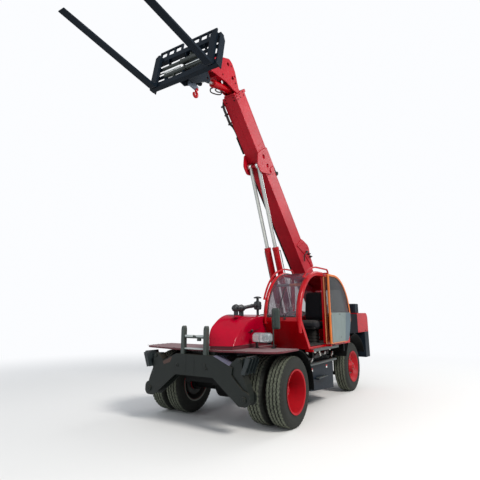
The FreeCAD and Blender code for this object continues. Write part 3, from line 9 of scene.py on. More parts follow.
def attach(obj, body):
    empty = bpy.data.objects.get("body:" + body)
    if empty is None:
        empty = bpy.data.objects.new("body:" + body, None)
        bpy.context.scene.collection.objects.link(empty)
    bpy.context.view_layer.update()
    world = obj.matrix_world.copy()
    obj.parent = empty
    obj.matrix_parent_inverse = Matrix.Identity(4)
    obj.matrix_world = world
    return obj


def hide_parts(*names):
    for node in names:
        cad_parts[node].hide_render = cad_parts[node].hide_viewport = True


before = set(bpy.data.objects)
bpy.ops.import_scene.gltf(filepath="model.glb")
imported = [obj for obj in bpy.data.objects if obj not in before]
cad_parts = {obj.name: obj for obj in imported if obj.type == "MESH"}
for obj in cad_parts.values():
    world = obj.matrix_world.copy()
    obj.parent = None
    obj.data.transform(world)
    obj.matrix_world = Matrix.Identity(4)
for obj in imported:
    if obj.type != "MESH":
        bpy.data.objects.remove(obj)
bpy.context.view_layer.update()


# Camera: stands in front of the machine's left corner, a little above waist height, and looks up at
# the boom. Its pixels are those of a 480 by 480 frame.
camera_data = bpy.data.cameras.new("camera")
camera = bpy.data.objects.new("camera", camera_data)
bpy.context.collection.objects.link(camera)
camera_data.sensor_width = 36.0
camera_data.lens = 407.2 / 480 * 36
camera_data.shift_x = -0.5 / 480
camera_data.shift_y = -26.5 / 480
camera_data.clip_end = 200
yaw, pitch, roll = math.radians(213.12), math.radians(13.8), math.radians(-0.168)
look = Vector((math.cos(yaw) * math.cos(pitch), math.sin(yaw) * math.cos(pitch), math.sin(pitch)))
level = look.cross(Vector((0, 0, 1))).normalized()
upward = level.cross(look)
right = level * math.cos(roll) + upward * math.sin(roll)
above = upward * math.cos(roll) - level * math.sin(roll)
turn = Matrix((right, above, -look)).transposed().to_4x4()
camera.matrix_world = Matrix.Translation((6.4779, 4.118, 1.629)) @ turn
bpy.context.scene.camera = camera
bpy.context.scene.view_settings.view_transform = "Standard"


# Floor and light: a pale floor that fades into a white world, one broad key light from the cab side
# and two weak fills.
floor_mesh = bpy.data.meshes.new("floor")
floor_mesh.from_pydata([(-60, -60, -0.001), (60, -60, -0.001), (60, 60, -0.001), (-60, 60, -0.001)], [],
                       [(0, 1, 2, 3)])
floor = bpy.data.objects.new("floor", floor_mesh)
bpy.context.collection.objects.link(floor)
floor_paint = bpy.data.materials.new("floor_paint")
floor_paint.use_nodes = True
floor_tree = floor_paint.node_tree
floor_shader = floor_tree.nodes["Principled BSDF"]
floor_shader.inputs["Base Color"].default_value = (0.72, 0.71, 0.69, 1)
floor_shader.inputs["Roughness"].default_value = 0.85
far_floor = floor_tree.nodes.new("ShaderNodeEmission")
far_floor.inputs["Color"].default_value = (0.97, 0.98, 1, 1)
distance = floor_tree.nodes.new("ShaderNodeVectorMath")
distance.operation = "LENGTH"
floor_tree.links.new(floor_tree.nodes.new("ShaderNodeTexCoord").outputs["Object"], distance.inputs[0])
fade = floor_tree.nodes.new("ShaderNodeMapRange")
fade.interpolation_type = "SMOOTHSTEP"
fade.inputs["From Min"].default_value = 4.5
fade.inputs["From Max"].default_value = 13.0
floor_tree.links.new(distance.outputs["Value"], fade.inputs["Value"])
seen = floor_tree.nodes.new("ShaderNodeLightPath")
seen_fade = floor_tree.nodes.new("ShaderNodeMath")
seen_fade.operation = "MULTIPLY"
floor_tree.links.new(fade.outputs["Result"], seen_fade.inputs[0])
floor_tree.links.new(seen.outputs["Is Camera Ray"], seen_fade.inputs[1])
floor_mix = floor_tree.nodes.new("ShaderNodeMixShader")
floor_tree.links.new(seen_fade.outputs[0], floor_mix.inputs[0])
floor_tree.links.new(floor_shader.outputs[0], floor_mix.inputs[1])
floor_tree.links.new(far_floor.outputs[0], floor_mix.inputs[2])
floor_tree.links.new(floor_mix.outputs[0], floor_tree.nodes["Material Output"].inputs["Surface"])
floor_mesh.materials.append(floor_paint)

world = bpy.data.worlds.new("sky")
bpy.context.scene.world = world
world.use_nodes = True
sky_tree = world.node_tree
sky = sky_tree.nodes["Background"]
sky.inputs["Color"].default_value = (0.86, 0.92, 1, 1)
sky.inputs["Strength"].default_value = 0.62
seen_sky = sky_tree.nodes.new("ShaderNodeBackground")
seen_sky.inputs["Color"].default_value = (0.97, 0.98, 1, 1)
rays = sky_tree.nodes.new("ShaderNodeLightPath")
choice = sky_tree.nodes.new("ShaderNodeMixShader")
sky_tree.links.new(rays.outputs["Is Camera Ray"], choice.inputs[0])
sky_tree.links.new(sky.outputs[0], choice.inputs[1])
sky_tree.links.new(seen_sky.outputs[0], choice.inputs[2])
sky_tree.links.new(choice.outputs[0], sky_tree.nodes["World Output"].inputs["Surface"])

for name, place, aim, size, power, colour in (("key", (4, 13, 13), (0, 0, 2.5), 5, 2900, (1, 0.97, 0.93)),
                                              ("fill", (12, -8, 7), (0, 0, 2.5), 9, 420, (0.9, 0.95, 1)),
                                              ("rim", (-12, 3, 10), (0, 0, 3), 7, 700, (1, 1, 1))):
    data = bpy.data.lights.new(name, "AREA")
    data.energy, data.size, data.color = power, size, colour
    light = bpy.data.objects.new(name, data)
    bpy.context.collection.objects.link(light)
    light.location = place
    light.rotation_euler = (Vector(aim) - Vector(place)).to_track_quat("-Z", "Y").to_euler()


# Frame, axles and knuckles: welded plate and castings under a near-black coat, with slow shifts of
# tone, streaks that run down, dust on what faces up and a fine orange-peel surface.
def linear(red, green, blue):
    """A colour read off a screen, 0 to 255, as linear light: ((c + 0.055) / 1.055) to the power 2.4."""
    return tuple(((c / 255 + 0.055) / 1.055) ** 2.4 if c > 10 else c / 255 / 12.92 for c in (red, green, blue))


def paint(name, colour, rough=0.35, dust=(150, 140, 128), dusty=0.35, streak=0.25, peel=0.25, metal=0.0,
          specks=0.2, mask=None, shine=0.5):
    """Layers noise over one colour: tone, streaks squeezed along Z, dust by the upward slope or by an attribute of the
    mesh, and a bump. On the tyres that attribute keeps the grooves dark as painted shade."""
    coat = bpy.data.materials.new(name)
    coat.use_nodes = True
    tree = coat.node_tree
    shader = tree.nodes["Principled BSDF"]
    shader.inputs["Metallic"].default_value = metal
    shader.inputs["Specular IOR Level"].default_value = shine
    link = tree.links.new

    def node(kind, **values):
        made = tree.nodes.new(kind)
        for key, value in values.items():
            if hasattr(made, key):
                setattr(made, key, value)
            else:
                made.inputs[key.replace("_", " ")].default_value = value
        return made

    def spread(source, low, high, to_low=0.0, to_high=1.0):
        made = node("ShaderNodeMapRange")
        link(source, made.inputs["Value"])
        for key, value in (("From Min", low), ("From Max", high), ("To Min", to_low), ("To Max", to_high)):
            made.inputs[key].default_value = value
        return made.outputs["Result"]

    def blend(share, first, second):
        made = node("ShaderNodeMix", data_type="RGBA")
        link(share, made.inputs["Factor"])
        for socket, value in ((made.inputs[6], first), (made.inputs[7], second)):
            if isinstance(value, tuple):
                socket.default_value = (*value, 1)
            else:
                link(value, socket)
        return made.outputs[2]

    place = node("ShaderNodeTexCoord").outputs["Object"]
    slow = node("ShaderNodeTexNoise", Scale=1.7, Detail=5.0, Roughness=0.6)
    link(place, slow.inputs["Vector"])
    grain = node("ShaderNodeTexNoise", Scale=38.0, Detail=4.0, Roughness=0.65)
    link(place, grain.inputs["Vector"])
    squeeze = node("ShaderNodeMapping")
    squeeze.inputs["Scale"].default_value = (9, 9, 0.7)
    link(place, squeeze.inputs["Vector"])
    run = node("ShaderNodeTexNoise", Scale=1.3, Detail=4.0)
    link(squeeze.outputs["Vector"], run.inputs["Vector"])
    base = linear(*colour)
    deep, light = tuple(c * 0.82 for c in base), tuple(min(1, c * 1.12 + 0.001) for c in base)
    tone = blend(spread(slow.outputs["Fac"], 0.3, 0.7), deep, light)
    tone = blend(spread(run.outputs["Fac"], 0.52, 0.75, 0, streak), tone, tuple(c * 0.45 + 0.002 for c in base))
    if mask:
        slope = node("ShaderNodeAttribute", attribute_name=mask).outputs["Fac"]
    else:
        part = node("ShaderNodeSeparateXYZ")
        link(node("ShaderNodeNewGeometry").outputs["Normal"], part.inputs[0])
        slope = spread(part.outputs["Z"], 0.25, 0.95)
    dust_and_groove_shade = node("ShaderNodeMath", operation="MULTIPLY")
    link(slope, dust_and_groove_shade.inputs[0])
    link(spread(grain.outputs["Fac"], 0.35, 0.65, 0.35, 1), dust_and_groove_shade.inputs[1])
    film = node("ShaderNodeMath", operation="MULTIPLY_ADD")
    link(dust_and_groove_shade.outputs[0], film.inputs[0])
    film.inputs[1].default_value = dusty
    link(spread(grain.outputs["Fac"], 0.55, 0.85, 0, dusty * specks), film.inputs[2])
    link(blend(film.outputs[0], tone, linear(*dust)), shader.inputs["Base Color"])
    gloss = node("ShaderNodeMath", operation="MULTIPLY_ADD")
    link(film.outputs[0], gloss.inputs[0])
    gloss.inputs[1].default_value = 0.6
    link(spread(grain.outputs["Fac"], 0.3, 0.7, rough - 0.05, rough + 0.07), gloss.inputs[2])
    link(gloss.outputs[0], shader.inputs["Roughness"])
    fine = node("ShaderNodeTexNoise", Scale=140.0, Detail=2.0)
    link(place, fine.inputs["Vector"])
    bump = node("ShaderNodeBump", Strength=peel, Distance=0.0015)
    link(fine.outputs["Fac"], bump.inputs["Height"])
    link(bump.outputs["Normal"], shader.inputs["Normal"])
    return coat


def coat_nodes(material, *names):
    """Gives the CAD nodes a new finish in all their slots."""
    for name in names:
        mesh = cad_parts[name].data
        mesh.materials.clear()
        mesh.materials.append(material)


frame_paint = paint("frame_coat", (10, 12, 12), rough=0.55, dusty=0.0, streak=0.2, shine=0.12)
coat_nodes(frame_paint, "frame", "front_axle", "rear_axle", "knuckle_left", "knuckle_right", "cab_carriers",
           "wheel_arches", "mudguards")


# Tyres: truck tyres with three zigzag grooves round the tread, notches along both shoulders and moulded
# rings on the sidewalls, worn pale where they touch the ground; the dark of the grooves is painted shade.
axle = 2.81412
machine = Matrix.Translation((-axle, 0, 0))


def solid(name, shape, coat, body, place=machine, sharp=35, replaces=()):
    """A closed mesh of the given points and faces, set down by a place, that rides on one body."""
    points, faces = shape
    mesh = bpy.data.meshes.new(name)
    turned = np.asarray(points) @ np.array(place.to_3x3()).T + np.array(place.translation)
    mesh.from_pydata(turned.tolist(), [], [list(face) for face in faces])
    form = bmesh.new()
    form.from_mesh(mesh)
    bmesh.ops.remove_doubles(form, verts=form.verts, dist=1e-6)
    bmesh.ops.recalc_face_normals(form, faces=form.faces)
    form.to_mesh(mesh)
    form.free()
    mesh.shade_smooth()
    mesh.set_sharp_from_angle(angle=math.radians(sharp))
    mesh.materials.append(coat)
    piece = bpy.data.objects.new(name, mesh)
    bpy.context.collection.objects.link(piece)
    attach(piece, body)
    if replaces:
        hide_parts(*replaces)
    return piece


def join(*shapes):
    """Several shapes as one: points one after another, faces shifted by the points before them."""
    counts = np.cumsum([0] + [len(points) for points, _ in shapes])
    points = np.vstack([points for points, _ in shapes])
    faces = [tuple(int(i) + int(start) for i in face)
             for (_, group), start in zip(shapes, counts) for face in group]
    return points, faces


def net(rows, columns, around=True, across=False):
    """Quads between neighbours of a grid of rows by columns, closed round the rows or the columns if asked."""
    row, column = np.meshgrid(np.arange(rows if around else rows - 1),
                              np.arange(columns if across else columns - 1), indexing="ij")
    next_row, next_column = (row + 1) % rows, (column + 1) % columns
    return np.stack([row * columns + column, row * columns + next_column,
                     next_row * columns + next_column, next_row * columns + column], -1).reshape(-1, 4)


tyre_steps = 288


def tyre(x, y):
    """Radius and offset over turn and profile: grooves shift sideways by a triangle wave of the turn."""
    turn = np.arange(tyre_steps) / tyre_steps
    wave = np.abs((turn * 48) % 1 * 2 - 1) * 2 - 1
    notch = ((np.arange(tyre_steps) % 6) < 3) * 0.013
    side = [(0.110, 0.3025), (0.124, 0.306), (0.132, 0.318), (0.1345, 0.334), (0.1335, 0.338), (0.1385, 0.372),
            (0.1400, 0.404), (0.1370, 0.432), (0.1385, 0.434), (0.1375, 0.441), (0.1290, 0.461), (0.1215, 0.476)]
    shoulder = [(0.1165, 0.488), (0.1120, 0.4945), (0.0960, 0.4965)]
    grooves = [(groove + off, depth, 1 - rise) for groove in (0.056, 0.0, -0.056)
               for off, depth, rise in ((0.0115, 0, 0), (0.008, 0.016, 0), (-0.008, 0.016, 0), (-0.0115, 0, 0),
                                        (-0.028, 0, 1))][:-1]
    notches = (notch, np.roll(notch, 3))
    bands = [(across, radius, 0, 0) for across, radius in side]
    bands += [(across, radius, 0, share) for (across, radius), share in zip(shoulder, (0.7, 1, 0))]
    bands += [(across, 0.5 - depth, sway, 0) for across, depth, sway in grooves]
    bands += [(-across, radius, 0, -share) for (across, radius), share in zip(shoulder[::-1], (0, 1, 0.7))]
    bands += [(-across, radius, 0, 0) for across, radius in side[::-1]]
    across, radius, sway, cut = np.array(bands).T[:, None, :]
    offsets = across + wave[:, None] * 0.0055 * sway
    crown = (offsets / 0.112) ** 2 * 0.004 * (radius > 0.48) * (np.abs(across) < 0.09)
    radii = radius - crown - notches[0][:, None] * np.maximum(cut, 0) - notches[1][:, None] * np.maximum(-cut, 0)
    angle = (turn * 2 * math.pi)[:, None]
    points = np.stack([x + radii * np.cos(angle), y + offsets, 0.5 + radii * np.sin(angle)], -1)
    return points.reshape(-1, 3), net(tyre_steps, radii.shape[1], True, True)


def wear_and_groove_shade(piece, *middles):
    """How pale each point is: 1 on the ribs, worn pale with dust, 0 in the grooves, kept dark as painted shade, 0.3 on
    the sidewalls, by its radius.
    """
    points = np.empty(len(piece.data.vertices) * 3)
    piece.data.vertices.foreach_get("co", points)
    points = points.reshape(-1, 3)
    hub = 0.5 if piece.name.startswith("rear") else None
    middle_x = 0.0 - axle if hub else 3.4 - axle
    radius = np.hypot(points[:, 0] - middle_x, points[:, 2] - 0.5)
    across = np.min([np.abs(np.abs(points[:, 1]) - middle) for middle in middles], 0)
    pale = np.where(across < 0.1, np.clip((radius - 0.4885) / 0.006, 0, 1), 0.07)
    piece.data.attributes.new("wear_and_groove_shade", "FLOAT", "POINT").data.foreach_set("value", pale)


# Dust shows only where the mask is high: pale ribs, and grooves left dark as painted shade.
tyre_rubber = paint("tyre_rubber", (15, 17, 15), rough=0.72, dust=(120, 125, 108), dusty=0.75, peel=0.6,
                    mask="wear_and_groove_shade", shine=0.35)
for side, word in ((1, "left"), (-1, "right")):
    pair = solid(f"front_{word}_tread", join(tyre(3.4, side * 1.122), tyre(3.4, side * 0.782)), tyre_rubber,
                 f"front_{word}_wheels", sharp=25, replaces=[f"front_{word}_tyres"])
    wear_and_groove_shade(pair, 1.122, 0.782)
    single = solid(f"rear_{word}_tread", tyre(0, side * 0.865), tyre_rubber, f"rear_{word}_wheel", sharp=25,
                   replaces=[f"rear_{word}_tyre"])
    wear_and_groove_shade(single, 0.865)


# Rims: dished steel discs and barrels painted red, with rolled edges, hub caps and a ring of nuts; the rolled edges on
# the inner sides are pale grey as a painted highlight. The inner ones of the front pairs hold the brake drums in dark
# primer, and a dark lining inside their barrels is painted shade.
def unit(vectors):
    """Vectors over their lengths."""
    return vectors / np.maximum(np.linalg.norm(vectors, axis=-1, keepdims=True), 1e-12)


def carried(rings):
    """A skin over rings of points, with the first and last ring capped."""
    rings = np.asarray(rings, float)
    rows, columns = rings.shape[:2]
    caps = [tuple(range(columns)), tuple(range((rows - 1) * columns, rows * columns))]
    return rings.reshape(-1, 3), [tuple(face) for face in net(rows, columns, False, True)] + caps


def turned(profile, centre, ahead, steps=32, hollow=False):
    """A profile of (distance, radius) turned about a line; a hollow one closes on itself."""
    distance, radius = np.asarray(profile, float).T[:, :, None, None]
    ahead = unit(np.asarray(ahead, float))
    side = unit(np.cross(ahead, np.eye(3)[np.argmin(np.abs(ahead))]))
    angle = (np.arange(steps) / steps * 2 * math.pi)[None, :, None]
    rings = np.asarray(centre) + distance * ahead + radius * (
        np.cos(angle) * side + np.sin(angle) * np.cross(ahead, side))
    if hollow:
        return rings.reshape(-1, 3), net(len(profile), steps, True, True)
    return carried(rings)


def nuts(centres, ahead, radius, height, washer=True):
    """Six-sided heads with a chamfer, each on a round washer."""
    head = [(0, radius), (height * 0.75, radius), (height, radius * 0.82)]
    plate = [(0, radius * 1.45), (height * 0.2, radius * 1.45), (height * 0.28, radius * 1.3)]
    made = [turned(head, centre, ahead, 6) for centre in centres]
    return join(*made, *([turned(plate, centre, ahead, 16) for centre in centres] if washer else []))


def circle_of(x, y, z, radius, count, start=0.0):
    """Points round the Y axis: the centre plus the radius at equal angles."""
    angle = start + np.arange(count) / count * 2 * math.pi
    return np.stack([x + radius * np.cos(angle), np.full(count, y), z + radius * np.sin(angle)], -1)


rim_paint = paint("rim_coat", (160, 0, 18), rough=0.5, dusty=0.02, specks=0, shine=0.25)
coat_nodes(rim_paint, "front_left_rims", "front_right_rims", "rear_left_rim", "rear_right_rim")
primer_and_shade = paint("primer_and_shade_coat", (34, 36, 34), rough=0.55, dusty=0.15)
# Pale grey on the inner rolled edges is a painted highlight.
edge_highlight = paint("edge_highlight_coat", (104, 106, 98), rough=0.45, dusty=0.2)
nut_zinc = paint("nut_zinc", (128, 122, 116), rough=0.42, dusty=0.2, metal=0.7)
lip = [(0.126, 0.300), (0.134, 0.3005), (0.139, 0.308), (0.1415, 0.316), (0.143, 0.316), (0.1425, 0.306),
       (0.138, 0.292), (0.126, 0.290)]
for side, word in ((1, "left"), (-1, "right")):
    wheels, out = f"front_{word}_wheels", (0, side, 0)
    outer, inner = (3.4, side * 1.122, 0.5), (3.4, side * 0.782, 0.5)
    solid(f"front_{word}_rim_edge", turned(lip, outer, out, 96, True), rim_paint, wheels)
    solid(f"front_{word}_inner_edges", join(turned(lip, inner, (0, -side, 0), 96, True),
                                            turned(lip, inner, out, 96, True),
                                            turned(lip, outer, (0, -side, 0), 96, True)), edge_highlight, wheels)
    # A dark lining inside the inner rim's barrel is painted shade; the drum itself is dark primer.
    shade_liner = [(-0.130, 0.289), (0.150, 0.2765), (0.150, 0.2745), (-0.130, 0.287)]
    drum = [(-0.112, 0.205), (-0.108, 0.213), (-0.098, 0.213), (-0.092, 0.198), (0.12, 0.192), (0.145, 0.16),
            (0.145, 0.132), (-0.112, 0.132)]
    solid(f"front_{word}_drum", join(turned(shade_liner, inner, out, 96, True), turned(drum, inner, out, 48, True)),
          primer_and_shade, wheels)
    solid(f"front_{word}_nuts", join(nuts(circle_of(3.4, side * 0.968, 0.5, 0.1475, 10), out, 0.0145, 0.022),
                                     nuts(circle_of(3.4, side * 1.102, 0.5, 0.052, 6), out, 0.009, 0.008)),
          nut_zinc, wheels)
    cap = [(0, 0.038), (0.018, 0.038), (0.026, 0.032), (0.028, 0.012), (0.028, 0.001)]
    solid(f"front_{word}_hub_cap", turned(cap, (3.4, side * 1.101, 0.5), out), rim_paint, wheels)
    wheel, middle = f"rear_{word}_wheel", (0, side * 0.865, 0.5)
    solid(f"rear_{word}_rim_edge", turned(lip, middle, out, 96, True), rim_paint, wheel)
    solid(f"rear_{word}_inner_edge", turned(lip, middle, (0, -side, 0), 96, True), edge_highlight, wheel)
    solid(f"rear_{word}_nuts", join(nuts(circle_of(0, side * 0.906, 0.5, 0.1475, 10), out, 0.0145, 0.022),
                                    nuts(circle_of(0, side * 0.994, 0.5, 0.05, 6), out, 0.009, 0.008)),
          nut_zinc, wheel)
    solid(f"rear_{word}_hub_cap", turned(cap, (0, side * 0.993, 0.5), out), rim_paint, wheel)


# Front arch: a box beam of heavy plate that carries the stabilisers, welded, with pin caps, small
# brackets and a smooth top plate on its slopes, pale blue-grey as a painted highlight.
def slab(outline, low, high, axis="z", edge=0.003):
    """A flat outline carried from low to high along an axis; the end rings are drawn in by the edge."""
    flat = np.asarray(outline, float)
    ahead, behind = unit(np.roll(flat, -1, 0) - flat), unit(flat - np.roll(flat, 1, 0))
    middle = unit(ahead + behind)
    area = np.sum(flat[:, 0] * np.roll(flat[:, 1], -1) - np.roll(flat[:, 0], -1) * flat[:, 1])
    inward = np.stack([-middle[:, 1], middle[:, 0]], -1) * np.sign(area)
    inward /= np.maximum(np.abs(np.sum(middle * ahead, -1, keepdims=True)), 0.5)
    rings = []
    for height, inset in ((low, edge), (low + edge, 0), (high - edge, 0), (high, edge)):
        across = flat + inward * inset
        parts = [across[:, 0], across[:, 1]]
        parts.insert("xyz".index(axis), np.full(len(flat), height))
        rings.append(np.stack(parts, -1))
    return carried(rings)


def rounded(left, bottom, right, top, radius, steps=4):
    """A rectangle whose corners are quarter circles."""
    angle = np.radians(np.arange(4)[:, None] * 90 + np.linspace(0, 90, steps + 1))
    corner = np.array([[right - radius, top - radius], [left + radius, top - radius],
                       [left + radius, bottom + radius], [right - radius, bottom + radius]])[:, None]
    return (corner + radius * np.stack([np.cos(angle), np.sin(angle)], -1)).reshape(-1, 2)


def bar(low, high, radius=0.004, axis="z", edge=None):
    """A block between two corners with its long edges rounded and its ends chamfered."""
    at = "xyz".index(axis)
    flat = [i for i in range(3) if i != at]
    return slab(rounded(low[flat[0]], low[flat[1]], high[flat[0]], high[flat[1]], radius), low[at], high[at],
                axis, radius * 0.7 if edge is None else edge)


arch_paint = paint("arch_coat", (21, 27, 24), rough=0.42, dust=(88, 74, 58), dusty=0.35, streak=0.4, shine=0.3)
coat_nodes(arch_paint, "front_arch", "stabiliser_left", "stabiliser_right")
# The pale blue-grey of the slope plates is a painted highlight.
slope_highlight_paint = paint("slope_highlight_coat", (86, 88, 112), rough=0.3, dusty=0.2, streak=0.1)
for side, word in ((1, "left"), (-1, "right")):
    skin = [(side * 0.362, 1.0305), (side * 0.636, 0.9125), (side * 0.634, 0.9085), (side * 0.36, 1.0265)]
    solid(f"{word}_slope_plate", slab(skin, 4.084, 4.276, "x", 0.001), slope_highlight_paint, "chassis")
    solid(f"{word}_leg_pin_caps",
          join(turned([(0, 0.042), (0.016, 0.042), (0.02, 0.037)], (4.2805, side * 0.89, 0.485), (1, 0, 0)),
               turned([(0, 0.042), (0.016, 0.042), (0.02, 0.037)], (4.0795, side * 0.89, 0.485), (-1, 0, 0)),
               nuts([(4.3, side * 0.89, 0.485)], (1, 0, 0), 0.012, 0.01)), arch_paint, "chassis")
arch_marks = [turned([(0, 0.026), (0.008, 0.026), (0.010, 0.022), (0.010, 0.012), (0.002, 0.011)],
                     (4.280, -0.325, 0.863), (1, 0, 0), 20),
              bar((4.280, 0.19, 0.862), (4.288, 0.228, 0.915), 0.005, "x"),
              turned([(0, 0.018), (0.012, 0.018), (0.014, 0.014), (0.014, 0.008), (0.004, 0.008)],
                     (4.280, 0.239, 0.841), (1, 0, 0), 20),
              bar((4.2805, -0.1495, 0.756), (4.2825, -0.1465, 1.02), 0.001, "x"),
              bar((4.2805, 0.0095, 0.756), (4.2825, 0.0125, 1.02), 0.001, "x")]
solid("arch_brackets", join(*arch_marks), arch_paint, "chassis")
rust_patch = paint("worn_coat", (70, 46, 38), rough=0.6, dusty=0.3)
solid("arch_end_patch", slab([(-0.43, 0.985), (-0.62, 0.905), (-0.60, 0.86), (-0.47, 0.90)], 4.2803, 4.2815, "x",
                             0.0004), rust_patch, "chassis")


# Stabiliser feet: a steel sole with four cleats, pinned in the fork of the leg.
foot_paint = paint("foot_coat", (28, 36, 38), rough=0.3, dusty=0.08)
coat_nodes(foot_paint, "foot_left", "foot_right")
for side, word in ((1, "left"), (-1, "right")):
    caps = [turned([(0, 0.028), (0.012, 0.028), (0.015, 0.023)], (x, side * 0.800, 0.980), (way, 0, 0), 24)
            for x, way in ((4.2555, 1), (4.1045, -1))]
    solid(f"{word}_foot_pin_caps", join(*caps), arch_paint, f"{word}_stabiliser")


# Boom cradle: two tall plates with tapered tops and a padded bar, welded to the arch, where the boom lies.
cradle_paint = paint("cradle_coat", (52, 60, 56), rough=0.45, dusty=0.12)
posts = []
for side in (1, -1):
    near = 0.174 if side > 0 else -0.262
    steps = np.array([(0, 1.031), (0.056, 1.031), (0.056, 1.40), (0.050, 1.435), (0.036, 1.4495), (0.018, 1.444),
                      (0.006, 1.42), (0, 1.39)])
    posts.append(slab(steps + np.array([near, 0]), 4.2, 4.279, "x", 0.004))
    rib = near + (0.056 if side > 0 else 0)
    posts.append(slab([(rib, 1.031), (rib + side * 0.02, 1.031), (rib, 1.12)], 4.225, 4.24, "x", 0.002))
posts.append(bar((4.204, -0.208, 1.262), (4.258, 0.176, 1.306), 0.006, "y"))
posts.append(bar((4.21, 0.03, 1.225), (4.25, 0.09, 1.262), 0.006))
solid("cradle_frame", join(*posts), cradle_paint, "chassis", replaces=["boom_cradle"])
pale_steel = paint("pale_steel", (176, 182, 180), rough=0.4, dusty=0.1)
solid("cradle_pads", join(bar((4.206, -0.20, 1.284), (4.263, -0.045, 1.3115), 0.0025),
                          bar((4.206, 0.02, 1.284), (4.263, 0.165, 1.3115), 0.0025),
                          bar((4.19, -0.2, 1.1025), (4.262, 0.17, 1.122), 0.004)), pale_steel, "chassis")


# Deck: a thin plate over the front wheels, dusty maroon, with bolt heads along its turned-down edge.
deck_paint = paint("deck_coat", (92, 32, 40), rough=0.42, dust=(146, 130, 130), dusty=0.75, shine=0.3)
coat_nodes(deck_paint, "deck")
angle = np.linspace(0.15, 1.45, 5)
bolts = [(4.10 - 0.12 * i, side * 1.262, 1.102) for i in range(1, 6) for side in (1, -1)]
bolts += [(4.165, side * y, 1.102) for y in (0.32, 0.5, 0.68, 0.86) for side in (1, -1)]
solid("deck_bolts", nuts(bolts, (0, 0, 1), 0.009, 0.007), nut_zinc, "chassis")
# Hood: a pressed sheet over the engine whose nose falls away towards the cab; red gloss paint tinted crimson as a
# painted reflection of the sky, with a latch recess on top, a rubber toggle and a folded seam on its side.
def eased(value, low, high):
    """0 below low, 1 above high, and 3 t squared less 2 t cubed between them."""
    share = np.clip((value - low) / (high - low), 0, 1)
    return share * share * (3 - 2 * share)


def filleted(corners, steps=8):
    """Corners (x, z, radius) as one line, each rounded by a quadratic curve that starts a radius' run before it."""
    corners = np.array(corners, float)
    places, runs = corners[:, :2], corners[:, 2:]
    back, on = unit(np.roll(places, 1, 0) - places), unit(np.roll(places, -1, 0) - places)
    share = np.linspace(0, 1, steps)[None, :, None]
    start, end = (places + back * runs)[:, None], (places + on * runs)[:, None]
    return ((1 - share) ** 2 * start + 2 * share * (1 - share) * places[:, None] + share ** 2 * end).reshape(-1, 2)


def hood_outline(share):
    """The hood's side view, straight between its outline beside the boom and the one beside the cab."""
    near = np.array([(2.83, 1.155, 0), (4.180, 1.155, 0), (4.186, 1.39, 0.12), (3.85, 1.619, 0.2), (2.83, 1.608, 0)])
    far = np.array([(2.83, 1.155, 0), (4.06, 1.155, 0), (3.95, 1.32, 0.13), (3.56, 1.559, 0.2), (2.83, 1.59, 0)])
    return filleted(near + (far - near) * share, 12)


def hood_edge(x):
    """How far the hood's cab side stands out: 0.572, easing in to 0.478 where the cab's frame passes it."""
    return 0.478 + 0.094 * eased(x, 3.05, 3.5)


shares = np.array([0.0, 0.0, 0.006, 0.02, 0.04, 0.2, 0.4, 0.6, 0.8, 0.955, 0.978, 0.992, 1.0, 1.0])
insets = np.array([0.45, 0.012, 0.005, 0.001, 0, 0, 0, 0, 0, 0, 0.002, 0.006, 0.014, 0.45])
rings = []
for share, inset in zip(shares, insets):
    flat = hood_outline(share)
    centre = np.array([3.5, 1.32])
    reach = np.linalg.norm(flat - centre, axis=-1, keepdims=True)
    flat = flat + (centre - flat) * (inset / reach if inset < 0.1 else inset)
    bulge = 0.007 * np.sin(share * math.pi) * eased(flat[:, 1], 1.2, 1.5)
    side = 0.208 + (hood_edge(flat[:, 0]) - 0.208) * share
    rings.append(np.stack([flat[:, 0], side, flat[:, 1] + bulge], -1))
# Red with a crimson tint that is a painted reflection of the sky.
sky_tinted_hood_paint = paint("hood_coat", (156, 0, 32), rough=0.14, dusty=0.0, streak=0.02, peel=0.05, shine=0.22)
solid("hood_cover", carried(rings), sky_tinted_hood_paint, "chassis", sharp=28, replaces=["hood", "engine_block"])
solid("hood_plinth", slab([(2.85, 0.215), (4.16, 0.215), (4.05, 0.55), (3.5, 0.55), (3.06, 0.465), (2.85, 0.465)],
                          1.1025, 1.158, "z", 0.002), deck_paint, "chassis")


def smooth(points, steps=8):
    """A curve through points: cubic runs whose slopes are half the chord between each point's neighbours."""
    points = np.asarray(points, float)
    before = np.vstack([2 * points[:1] - points[1:2], points[:-1]])
    after = np.vstack([points[1:], 2 * points[-1:] - points[-2:-1]])
    slope = ((after - before) / 2)[:, None]
    share = np.linspace(0, 1, steps, endpoint=False)[None, :, None]
    runs = ((2 * share ** 3 - 3 * share ** 2 + 1) * points[:-1, None] + (share ** 3 - 2 * share ** 2 + share) * slope[:-1]
            + (3 * share ** 2 - 2 * share ** 3) * points[1:, None] + (share ** 3 - share ** 2) * slope[1:])
    return np.vstack([runs.reshape(-1, 3), points[-1:]])


def carry(path, outline):
    """An outline (across, over) carried along a path, square to it and upright to the path's flattest axis."""
    path, outline = np.asarray(path, float), np.asarray(outline, float)
    ahead = unit(np.gradient(path, axis=0))
    side = unit(np.cross(ahead, np.eye(3)[np.argmin(np.abs(ahead).max(0))]))
    over = np.cross(side, ahead)
    return carried(path[:, None] + outline[None, :, :1] * side[:, None] + outline[None, :, 1:] * over[:, None])


def pipe(points, radius, sides=12, steps=8):
    """A round bar or hose of one radius along a smooth curve through points."""
    angle = np.arange(sides) / sides * 2 * math.pi
    return carry(smooth(points, steps), radius * np.stack([np.cos(angle), np.sin(angle)], -1))


